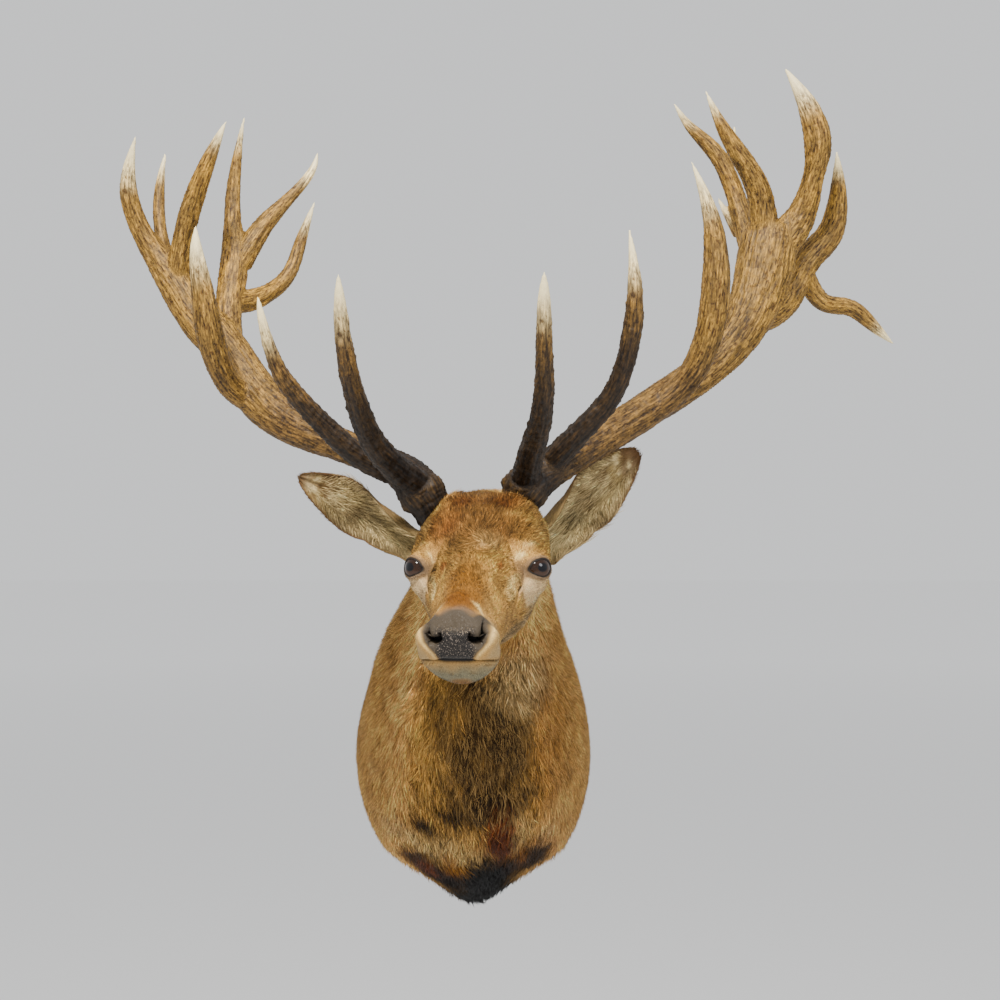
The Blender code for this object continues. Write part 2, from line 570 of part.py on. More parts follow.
def make_mount(chest, materials):
    """Plywood backboard let into the chest, with a steel hanger plate let into the board."""
    board = slab("backboard", board_outline(0.0), -BOARD_THICKNESS, 0.0, materials["plywood"])
    recess = as_cutter(slab("cut_board_recess", board_outline(GAP), -BOARD_THICKNESS - GAP, CUT_PAST))
    add_boolean(chest, recess, "DIFFERENCE")
    width, depth, height = HANGER_SIZE
    outline = rectangle(width, height, HANGER_HEIGHT)
    plate = slab("hanger_plate", outline, -depth - GAP, -GAP, materials["steel"])
    pocket_outline = rectangle(width + 2 * GAP, height + 2 * GAP, HANGER_HEIGHT)
    pocket = as_cutter(slab("cut_hanger_pocket", pocket_outline, -depth - 2 * GAP, CUT_PAST))
    add_boolean(board, pocket, "DIFFERENCE")
    slot_height = HANGER_HEIGHT - HANGER_SLOT_LENGTH / 2.0
    slot = slot_outline(HANGER_SLOT_RADIUS, HANGER_SLOT_LENGTH, slot_height)
    add_boolean(plate, as_cutter(slab("cut_hanger_slot", slot, -CUT_PAST, CUT_PAST)), "DIFFERENCE")
    bore = slot_outline(HANGER_SLOT_RADIUS * HOOK_ROOM, HANGER_SLOT_LENGTH, slot_height)
    relief = as_cutter(slab("cut_hook_relief", bore, -BOARD_THICKNESS * HOOK_DEPTH_SHARE, CUT_PAST))
    add_boolean(board, relief, "DIFFERENCE")


def build():
    clear_scene()
    materials = {name: make_material(name) for name in MATERIALS}
    section_count = len(HEAD_SECTIONS) + len(BODY_SECTIONS) - 1

    muzzle = body_part("muzzle", 0, MUZZLE_CUT, materials["face"])
    head = body_part("head", MUZZLE_CUT, NECK_CUT, materials["face"])
    jaw = body_part("lower_jaw", 0, NECK_CUT, materials["jaw"])
    add_boolean(jaw, jaw_prism("cut_jaw_keep", 0.0), "INTERSECT")
    jaw_space = jaw_prism("cut_jaw_space", GAP)
    add_boolean(muzzle, jaw_space, "DIFFERENCE")
    add_boolean(head, jaw_space, "DIFFERENCE")

    body_part("neck", NECK_CUT, CHEST_CUT, materials["coat"])
    chest = body_part("chest", CHEST_CUT, section_count, materials["chest"])
    make_mount(chest, materials)

    for side, sign in (("left", -1.0), ("right", 1.0)):
        place = from_head((sign * EYE_PLACE[0], EYE_PLACE[1], EYE_PLACE[2]))
        eyeball("eye_" + side, place, EYE_RADIUS, materials["eye"])
        socket = as_cutter(eyeball("cut_socket_" + side, place, EYE_RADIUS + GAP))
        add_boolean(head, socket, "DIFFERENCE")

    head_cutter = as_cutter(body_part("cut_head", 0, CHEST_CUT, None, grow=GAP))
    for name, ear in (("ear_left", EAR_LEFT), ("ear_right", EAR_RIGHT)):
        add_boolean(ear_part(name, ear, materials["ear"]), head_cutter, "DIFFERENCE")
    for prefix, branches in ANTLERS.items():
        make_antler(prefix, branches, head_cutter, materials["antler"])


build()
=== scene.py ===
import math

import bpy
import numpy as np
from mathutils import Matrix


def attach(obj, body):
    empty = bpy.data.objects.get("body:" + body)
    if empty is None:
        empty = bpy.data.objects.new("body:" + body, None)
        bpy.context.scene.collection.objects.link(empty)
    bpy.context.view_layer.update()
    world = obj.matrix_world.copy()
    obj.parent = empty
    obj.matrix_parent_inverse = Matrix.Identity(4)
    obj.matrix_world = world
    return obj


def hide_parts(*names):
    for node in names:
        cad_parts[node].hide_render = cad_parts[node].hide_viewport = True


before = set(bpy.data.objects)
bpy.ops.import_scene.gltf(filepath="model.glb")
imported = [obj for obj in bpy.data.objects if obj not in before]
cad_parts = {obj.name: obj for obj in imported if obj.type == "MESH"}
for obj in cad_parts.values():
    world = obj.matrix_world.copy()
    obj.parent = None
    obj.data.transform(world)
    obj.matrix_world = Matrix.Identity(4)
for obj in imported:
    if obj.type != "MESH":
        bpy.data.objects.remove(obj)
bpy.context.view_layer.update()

# lengths are metres where a note doesn't say millimetres; local places are in the head's own frame
fullTurn = 2 * math.pi
upwards = np.array((0.0, 0.0, 1.0))


def metres(millimetres):
    # a whole table from millimetres to metres
    return np.array(millimetres) / 1000


def ease(low, high, value):
    # 0 below low, 1 above high, and 3t^2 - 2t^3 between
    t = np.clip((value - low) / (high - low), 0, 1)
    return t * t * (3 - 2 * t)


def unit(vectors):
    # each vector over its own length
    return vectors / np.maximum(np.linalg.norm(vectors, axis=-1, keepdims=True), 1e-9)


def cubicSpline(keys, places):
    # natural cubic spline through rows of numbers, read at fractional row numbers
    count = len(keys)
    system, target = np.eye(count), np.zeros_like(keys)
    for row in range(1, count - 1):
        system[row, row - 1:row + 2] = (1, 4, 1)
        target[row] = 6 * (keys[row - 1] - 2 * keys[row] + keys[row + 1])
    bend = np.linalg.solve(system, target)
    low = np.clip(np.floor(places).astype(int), 0, count - 2)
    t = (places - low)[:, None]
    r = 1 - t
    cubic = (r ** 3 - r) * bend[low] + (t ** 3 - t) * bend[low + 1]
    return r * keys[low] + t * keys[low + 1] + cubic / 6


def latticeNoise(points, seed):
    # random values on whole-number corners, mixed smoothly between them, from -1 to 1
    cell = np.floor(points).astype(np.int64)
    t = points - cell
    t = t * t * (3 - 2 * t)
    total = np.zeros(points.shape[:-1])
    for corner in range(8):
        step = np.array((corner & 1, corner >> 1 & 1, corner >> 2 & 1))
        key = ((cell + step) * (374761393, 668265263, 1442695041)).sum(axis=-1) + seed * 974634777
        key &= 0xffffffff
        key = (key ^ key >> 13) * 1274126177 & 0xffffffff
        value = (key ^ key >> 16) / 2147483648 - 1
        total += value * np.where(step == 1, t, 1 - t).prod(axis=-1)
    return total


def noise(points, seed, layers=1):
    # sum of lattice noise, each layer twice as fine and half as strong
    return sum(latticeNoise(points * 2 ** n, seed + n) / 2 ** n for n in range(layers))


def gridFaces(rows, columns):
    # four-cornered faces of rings of points, row by row
    here = np.arange((rows - 1) * columns)
    beside = here + 1 - columns * ((here + 1) % columns == 0)
    return np.stack((here, beside, beside + columns, here + columns), axis=-1)


def poleFaces(pole, first, columns, flipped=False):
    # a fan of four-cornered faces from a pole to the ring whose first point is given
    even = np.arange(0, columns, 2)
    corners = [first + (even + step) % columns for step in (0, 1, 2)]
    return np.stack([np.full(len(even), pole)] + corners[::-1 if flipped else 1], axis=-1)


def gridNormals(rings):
    # cross product of the steps around and along the grid
    around = np.roll(rings, -1, axis=1) - np.roll(rings, 1, axis=1)
    return unit(np.cross(around, np.gradient(rings, axis=0)))


def flattened(vectors, normals):
    # the part of each vector that lies along the surface
    return vectors - normals * (vectors * normals).sum(axis=-1, keepdims=True)


def rowLengths(rings):
    # running length down the rows, as a mean over the columns
    step = np.linalg.norm(np.diff(rings, axis=0), axis=-1).mean(axis=1)
    return np.concatenate(((0,), np.cumsum(step)))


def newMesh(name, points, faces):
    # points and faces as whole arrays; every face has the same number of corners
    points, faces = np.asarray(points, np.float32).reshape(-1, 3), np.asarray(faces, np.int32)
    mesh = bpy.data.meshes.new(name)
    mesh.vertices.add(len(points))
    mesh.vertices.foreach_set("co", points.ravel())
    mesh.loops.add(faces.size)
    mesh.loops.foreach_set("vertex_index", faces.ravel())
    mesh.polygons.add(len(faces))
    mesh.polygons.foreach_set("loop_start", np.arange(0, faces.size, faces.shape[1], dtype=np.int32))
    mesh.update(calc_edges=True)
    mesh.shade_smooth()
    return mesh


def setLayers(mesh, **layers):
    # numbers, vectors and coatColour at the points, pairs at the corners as a flat unwrap
    for name, values in layers.items():
        values = np.asarray(values, np.float32)
        width = values.shape[-1] if values.ndim > 1 else 1
        if width == 2:
            layer, key = mesh.uv_layers.new(name=name), "uv"
        elif name == "coatColour":
            values = np.insert(np.clip(values.reshape(-1, 3), 0, 1), 3, 1, axis=1)
            layer, key = mesh.color_attributes.new(name, "FLOAT_COLOR", "POINT"), "color"
        else:
            kind, key = ("FLOAT_VECTOR", "vector") if width == 3 else ("FLOAT", "value")
            layer = mesh.attributes.new(name, kind, "POINT")
        layer.data.foreach_set(key, values.ravel())


def link(thing):
    # into the scene
    bpy.context.scene.collection.objects.link(thing)
    return thing


def addPiece(name, mesh, material, replaced=()):
    # a piece at the origin, riding on the part's only body
    mesh.materials.append(material)
    piece = link(bpy.data.objects.new(name, mesh))
    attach(piece, "root")
    if replaced:
        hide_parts(*replaced)
    return piece


# the body's form is the same sweep as the solids
form = {
    "eyeMidpoint": (0.0137, -0.550, 0.271),
    "pitch": math.radians(20),
    "yaw": math.radians(6),
    # head: forward, top, widest level, bottom and half width in millimetres; upper and lower pinch in percent
    "headSections": (
        (223.5, 18, 1, -22, 32, 0, 0), (213, 27, 0, -35, 43, 8, -6), (199, 32, -3, -57, 44, 14, -14),
        (182, 34, -8, -67, 42, 18, -16), (158, 34, -12, -69, 39.5, 16, -10), (128, 35, -17, -69, 41.5, 14, -6),
        (93, 38, -18, -73, 46, 14, -2), (60, 42, -18, -84, 54, 16, 2), (30, 47, -12, -97, 68, 16, 4),
        (2, 51, -2, -108, 81.5, 16, 12), (-26, 56, 2, -116, 86, 10, 14), (-60, 60, 2, -121, 83, -4, 12),
    ),
    "headUnits": (1000, 1000, 1000, 1000, 1000, 100, 100),
    # neck and chest: top and bottom point, level (%), half width, upper pinch, lower pinch and keel (%)
    "bodySections": (
        (27, -446, 365, 13, -443, 152, 55, 80, -10, 8, 0), (26, -388, 355, 12, -441.5, 138, 46, 86, 4, 4, 0),
        (20, -328, 330, 10, -440, 116, 42, 101, 12, 2, 0), (8, -252, 306, 6, -428, 52, 42, 121, 14, 0, 0),
        (5, -175, 291, 5, -398, -12, 42, 138, 14, 0, 6), (5, -108, 281, 7, -344, -84, 42, 150, 12, 0, 14),
        (3, -55, 275, 5, -250, -152, 42, 161, 10, 0, 24), (1, -20, 271, 2, -125, -209, 42, 170, 8, 0, 34),
        (-1, -1, 268, 2, -1, -247, 42, 174, 6, 0, 40),
    ),
    "bodyUnits": (1000, 1000, 1000, 1000, 1000, 1000, 100, 1000, 100, 100, 100),
    "yawLeft": 0.6,                 # share of the turn that is left at each section of the neck
    "noseCap": 0.0055,
    "tipSunk": 0.0006,              # the pole of the nose lies behind the dome
    # swellings and hollows in millimetres: centre in the head's frame, radii, height
    "forms": (
        (74, 10, 25, 22, 24, 12, 8.5), (78, 12, -21, 18, 22, 9, 6), (84, -10, -32, 20, 36, 12, 2),
        (62, 38, 2, 14, 14, 12, -6.5), (62, -15, -70, 26, 45, 30, 3), (42, 205, 4, 14, 14, 12, 3),
        (25, 226, 4, 8, 10, 7, -6), (40, 160, -26, 16, 40, 10, 3), (42, -105, 34, 22, 30, 30, 11),
    ),
}

yawSin, yawCos = math.sin(form["yaw"]), math.cos(form["yaw"])
pitchSin, pitchCos = math.sin(form["pitch"]), math.cos(form["pitch"])
axes = np.array(((yawCos, -yawSin, 0), (-yawSin * pitchCos, -yawCos * pitchCos, -pitchSin),
                 (-yawSin * pitchSin, -yawCos * pitchSin, pitchCos)))     # sideways, forward, up


def fromHead(points):
    # local place to world: along the three axes from the point between the eyes
    return np.asarray(points) @ axes + form["eyeMidpoint"]


def toHead(points):
    # and back
    return (points - np.array(form["eyeMidpoint"])) @ axes.T


def keySections():
    # every key section as one row: top, bottom, level, half width, pinches, keel, turn
    rows, turn = [], form["yaw"]
    for forward, top, widest, bottom, *rest in np.array(form["headSections"]) / form["headUnits"]:
        ends = (*fromHead((0, forward, top)), *fromHead((0, forward, bottom)))
        rows.append((*ends, (widest - bottom) / (top - bottom), *rest, 0, turn))
    for row in np.array(form["bodySections"]) / form["bodyUnits"]:
        turn *= form["yawLeft"]
        rows.append((*row, turn))
    return np.array(rows)


def sectionPoints(rows, angle):
    # an oval about the widest level: height = level + reach * sin, side = width * cos * pinches
    across, along = np.cos(angle)[None, :], np.sin(angle)[None, :]
    level, width, upper, lower, keel, turn = rows[:, None, 6:].T.swapaxes(1, 2)
    height = level + np.where(along > 0, 1 - level, level) * along
    side = width * across * (1 - np.where(along > 0, upper, lower) * ease(0, 0.6, np.abs(along)))
    side *= 1 - keel * ease(0.6, 0.97, -along)
    lateral = np.stack((np.cos(turn), -np.sin(turn), 0 * turn), axis=-1)
    top, bottom = rows[:, None, 0:3], rows[:, None, 3:6]
    return bottom + height[..., None] * (top - bottom) + side[..., None] * lateral


def mirrored(local):
    # both sides of the head laid on one
    return np.concatenate((np.abs(local[..., :1]), local[..., 1:]), axis=-1)


def bells(local, forms):
    # sum of soft bells, height * exp(-sum(((p - centre) / radii)^2)), the same on both sides
    both = mirrored(local)
    return sum(row[6] * np.exp(-(((both - row[:3]) / row[3:6]) ** 2).sum(axis=-1)) for row in metres(forms))


skinGrid = {
    "columns": 240,
    "sideCrowding": 0.20,           # draws the columns together at eye level
    "capRows": 14,
    # first section, last section, number of rows
    "rowRuns": ((0, 2, 26), (2, 7, 98), (7, 10.5, 92), (10.5, 14, 44), (14, 20, 72)),
    # depth of the coat: section, then millimetres at the top, at the side, at the bottom
    "coatDepth": ((0, 0.4, 0.4, 0.4), (2, 0.8, 0.8, 1), (5, 1.6, 1.4, 1.8), (8, 2.8, 2, 3), (10, 4.5, 3, 5),
                  (12, 7, 7, 9), (14, 9, 10, 15), (17, 11, 10, 19), (19, 10, 8, 15), (20, 8, 6, 10)),
    "wallLimit": -0.0015,           # the last row stays this far before the wall
    "wallSlope": 0.003,             # and each row before it a little further
    "backInset": 0.0166,            # the skin turns in round the backboard
    "backDepth": 0.0205,
    "backEdge": 0.0012,
}


def tableField(table, places, angle, scale=1000):
    # read by section, then mixed between top, side and bottom by the squared sine of the angle
    table = np.array(table)
    top, side, bottom = (np.interp(places, table[:, 0], column / scale)[:, None] for column in table.T[1:])
    rise = np.sin(angle)[None, :]
    upper, lower = np.clip(rise, 0, 1) ** 2, np.clip(-rise, 0, 1) ** 2
    return top * upper + bottom * lower + side * (1 - upper - lower)


def coatSurface():
    # the coat's outer surface, a dome of capRows over the nose first; columns at turn - crowding * sin 2 turn
    turn = -np.linspace(0, fullTurn, skinGrid["columns"], endpoint=False)
    angle = turn - skinGrid["sideCrowding"] * np.sin(2 * turn)
    runs, caps = skinGrid["rowRuns"], skinGrid["capRows"]
    places = np.concatenate([np.linspace(*run, endpoint=False) for run in runs] + [(runs[-1][1],)])
    rings = sectionPoints(cubicSpline(keySections(), places), angle)
    centre, opening = rings[0].mean(axis=0), math.pi / 2 * np.arange(1, caps + 1) / (caps + 1)
    dome = centre + (rings[0] - centre) * np.sin(opening)[:, None, None]
    dome = dome + axes[1] * form["noseCap"] * np.cos(opening)[:, None, None]
    rings = np.concatenate((dome, rings))
    rings = rings + gridNormals(rings) * bells(toHead(rings), form["forms"])[..., None]
    return rings, gridNormals(rings), np.concatenate((opening / (math.pi / 2) - 1, places)), angle


# nose, mouth and lids; tables in millimetres
face = {
    # finer forms of the bare skin: centre, radii, height
    "forms": (
        (0, 50, 50, 22, 50, 30, -1.5),              # hollow of the forehead
        (30, 222, -18, 14, 14, 7, 1.6),             # upper lip pads
        (0, 208, -40, 30, 16, 8, 2.2),              # lower lip
        (46, 120, 0, 10, 50, 12, -1.5),             # hollow along the nose
        (23, 224, 9, 8.5, 20, 8.5, -2.5),           # floor of the nostril
        (23.7, 222, 12.5, 4.6, 16, 6.5, 4),         # fold inside the wing
        (17, 222, 19, 9, 16, 5, 1.4),               # roof of the nostril
    ),
    # lines on the side: points, each with the line's half width there; the nostril is a comma up the wing
    "nostril": ((16.8, 13, 1), (17.2, 6.5, 1.9), (21.5, 3.2, 1.8), (28, 4.5, 2), (31, 11, 2.4), (30.8, 16, 1.8),
                (30, 19, 0.9)),
    "tearSlit": ((47, -6, 1.6), (56, -12, 1.6), (66, -22, 1.6)),
    # height of the mouth line at places from the corner of the lips to the front
    "mouthForward": (145, 202, 210, 216, 222.5, 230),
    "mouthHeight": (-35, -30.8, -27.2, -23.8, -22.2, -20.5),
    # half width of the bare nose pad at heights
    "padHeights": (-24, -18, -13, -8.3, -5, 0.4, 11.2, 17, 21.7, 24.1, 26.2, 29, 31.5),
    "padWidths": (15, 17.2, 21.5, 26.2, 30, 35, 38.5, 36.2, 33, 29.5, 24.5, 17.5, 6),
    # from here on in metres
    "mouthWidth": 0.0012,
    "mouthMiddle": 0.0032,          # the line is wider under the nose
    "mouthSides": (0.026, 0.012),   # sideways, where that starts and is full
    "mouthFade": 0.012,
    "nostrilFront": (0.192, 0.205),
    "tearSides": (0.030, 0.038),
    # the pad's back edge, then what sets it forward and back: how far, and between which sides
    "padBack": (0.194, (0.006, 0.002, 0.018), (0.026, 0.018, 0.034)),
    "padEdge": (-0.0045, 0.0035),
    "padFront": (-0.002, 0.011),
    "padBottom": (-0.0245, -0.0225),
    "pebbleSides": (0.0250, 0.0165),
    "pebbleTop": (0.0210, 0.0110),
    "nostrilDepth": 0.0085,
    "mouthDepth": 0.0045,
    "tearDepth": 0.0022,
    "unevenness": 0.0004,
}

eye = {
    "radius": 0.0190,
    "place": (0.0680, 0.005, -0.001),
    "turn": math.radians(39),           # of the opening, from straight ahead to the side
    "lift": math.radians(23),           # and upwards, against the head's own slope
    "corneaHeight": 0.0016,
    "corneaAngle": math.radians(30),
    "ballGrid": (48, 64),               # rows and columns
    "lidThickness": 0.0014,
    "lidSoftness": 0.0016,              # how gently the lid's shell leaves the face
    "creaseDepth": 0.0009,
    # reaches as shares of the opening: the lid's slope, the crease and its width, where the lids end
    "lidSlope": (1.08, 1.75),
    "crease": (1.50, 0.10),
    "lidEnd": (2.2, 3),
    "lidBall": 2.6,                     # nothing is moved beyond this share of the radius
    "behind": 0.0030,                   # how far the skin lies behind the glass in the opening
    # opening's outline: polar angle in degrees from the inner corner, reach as a share of the radius
    "outline": ((0, 0.80), (25, 0.64), (40, 0.61), (55, 0.55), (90, 0.51), (125, 0.57), (155, 0.70),
                (180, 0.76), (205, 0.70), (235, 0.60), (262, 0.56), (300, 0.53), (323, 0.59), (345, 0.71)),
    "innerDrop": 0.10,
    "rimGrid": (128, 12),
    "rimRadius": 0.0009,
    "rimProud": 0.0005,
}


def lineShare(points, line):
    # shortest distance to a run of straight pieces, as a share of the half width that ends each row
    best, size = np.full(points.shape[:-1], 1e9), points.shape[-1]
    for start, end in zip(metres(line[:-1]), metres(line[1:])):
        along = (end - start)[:size]
        t = np.clip(((points - start[:size]) @ along) / (along @ along), 0, 1)
        away = np.linalg.norm(points - start[:size] - t[..., None] * along, axis=-1)
        best = np.minimum(best, away / (start[size] + (end[size] - start[size]) * t))
    return best


def faceMasks(local):
    # how far each point is nostril, mouth line, tear slit and bare nose pad, each from 0 to 1
    lateral, forward, up = np.abs(local[..., 0]), local[..., 1], local[..., 2]
    nostril = np.exp(-lineShare(np.stack((lateral, up), axis=-1), face["nostril"]) ** 2)
    line = np.interp(forward, metres(face["mouthForward"]), metres(face["mouthHeight"]))
    width = face["mouthWidth"] + face["mouthMiddle"] * ease(*face["mouthSides"], lateral)
    corner = face["mouthForward"][0] / 1000
    mouth = np.exp(-((up - line) / width) ** 2) * ease(corner, corner + face["mouthFade"], forward)
    tear = np.exp(-lineShare(np.stack((forward, up), axis=-1), face["tearSlit"]) ** 2)
    edge = np.interp(up, metres(face["padHeights"]), metres(face["padWidths"]), left=-0.01, right=-0.01)
    behind, (ahead, *near), (back, *far) = face["padBack"]
    behind = behind + ahead * ease(*near, lateral) - back * ease(*far, lateral)
    pad = ease(*face["padEdge"], edge - lateral) * ease(*face["padFront"], forward - behind)
    pad = pad * ease(*face["padBottom"], up)
    return {"nostril": nostril * ease(*face["nostrilFront"], forward), "mouth": mouth, "pad": pad,
            "tear": tear * ease(*face["tearSides"], lateral),
            "pebble": pad * ease(*face["pebbleSides"], lateral) * ease(*face["pebbleTop"], up)}


def eyeFrame(side):
    # centre, direction of the opening, towards the inner corner, and up, in the head's frame
    turn, lift = eye["turn"], eye["lift"]
    gaze = np.array((side * math.sin(turn) * math.cos(lift), math.cos(turn) * math.cos(lift), math.sin(lift)))
    inward = unit(np.cross(upwards, gaze)) * side
    upward = np.cross(gaze, inward) * -side
    return np.array(eye["place"]) * (side, 1, 1), gaze, inward, upward * np.sign(upward[2])


def eyeReach(polar):
    # the opening's outline as a smooth closed curve of the polar angle, a mean of five readings 4 degrees apart
    table = np.array(eye["outline"])
    angles = np.radians(np.concatenate([table[:, 0] + turn for turn in (-360, 0, 360)]))
    near = [np.mod(polar, fullTurn) + math.radians(s) for s in (-8, -4, 0, 4, 8)]
    return sum(np.interp(place, angles, np.tile(table[:, 1], 3)) for place in near) / 5


def eyeShare(offset, side):
    # 1 on the opening's edge, less inside it; large behind the eye
    _, gaze, inward, upward = eyeFrame(side)
    direction = unit(offset)
    x = direction @ inward
    y = direction @ upward - eye["innerDrop"] * np.clip(x, 0, 1)
    return np.where(direction @ gaze > 0, np.hypot(x, y) / eyeReach(np.arctan2(y, x)), 9)


def shapeLids(local):
    # round each eye the skin is a shell over the ball, shell + softness * log(1 + exp((d - shell) / softness)),
    # and inside the opening it lies behind the glass
    share, shell = np.full(local.shape[:-1], 9.0), eye["radius"] + eye["lidThickness"]
    softness = eye["lidSoftness"]
    crease, creaseWidth = eye["crease"]
    for side in (-1, 1):
        offset = local - eyeFrame(side)[0]
        distance = np.linalg.norm(offset, axis=-1)
        near = distance < eye["radius"] * eye["lidBall"]
        here = np.where(near, eyeShare(offset, side), 9)
        over = softness * np.log1p(np.exp(np.clip((distance - shell) / softness, -30, 30)))
        lid = shell + over * ease(*eye["lidSlope"], here)
        lid = lid - eye["creaseDepth"] * np.exp(-((here - crease) / creaseWidth) ** 2)
        target = np.where(here < eye["lidEnd"][1], lid, distance)
        target = np.where(here < 1, eye["radius"] - eye["behind"], target)
        moved = distance + (target - distance) * np.where(near, 1 - ease(*eye["lidEnd"], here), 0)
        local = local - offset + offset * (moved / np.maximum(distance, 1e-6))[..., None]
        share = np.minimum(share, here)
    return local, share


def skinSurface():
    # the coat's surface drawn in by the coat's depth, with the face's finer forms, and kept before the wall
    rings, normals, places, angle = coatSurface()
    masks = faceMasks(toHead(rings))
    height = bells(toHead(rings), face["forms"]) - tableField(skinGrid["coatDepth"], places, angle)
    for hollow in ("nostril", "mouth", "tear"):
        height -= face[hollow + "Depth"] * masks[hollow]
    height += face["unevenness"] * noise(rings * 60, 5, 3) * (1 - masks["pad"])
    rings = rings + normals * height[..., None]
    limit = skinGrid["wallLimit"] - skinGrid["wallSlope"] * (places[-1] - places)
    rings[..., 1] = np.minimum(rings[..., 1], limit[:, None])
    local, lidShare = shapeLids(toHead(rings))
    rings = fromHead(local)
    return {"rings": rings, "normals": gridNormals(rings), "places": places, "angle": angle,
            "local": local, "masks": masks, "lidShare": lidShare}


skin = skinSurface()
print("skin surface", skin["rings"].shape)


# display values, turned linear by the 2.2 power
shades = {
    "golden": (224, 168, 102), "faceGold": (178, 134, 70), "frontGold": (140, 106, 50), "tan": (146, 110, 58),
    "redBrown": (108, 64, 30), "forehead": (118, 84, 46), "crest": (78, 42, 16), "bridge": (122, 80, 26),
    "orange": (112, 68, 4), "cream": (242, 204, 130), "greyPink": (100, 83, 67), "palePink": (206, 180, 142),
    "pad": (40, 36, 33), "padGrey": (68, 59, 47), "chin": (114, 108, 84), "lip": (164, 136, 92),
    # black: dark hair on the chest, and dark skin with painted shade in the nostrils, mouth line and tear slit
    "maneDark": (27, 19, 14), "maneTip": (162, 128, 78), "black": (8, 5, 3), "chestRed": (88, 46, 20),
    "paleTan": (164, 134, 84), "jowl": (142, 122, 88), "nape": (104, 76, 46), "flank": (136, 106, 70),
    "earBack": (112, 84, 54), "earRim": (84, 58, 34), "earInside": (142, 120, 76), "earHair": (204, 182, 132),
    # the canal's shade is a painted shadow in the ear
    "canalShadow": (30, 25, 18), "boneDark": (34, 25, 15), "boneBrown": (94, 72, 38), "boneTan": (126, 98, 46),
    "boneGold": (142, 108, 42), "ivory": (234, 216, 166),
}
shades = {name: (np.array(values) / 255) ** 2.2 for name, values in shades.items()}

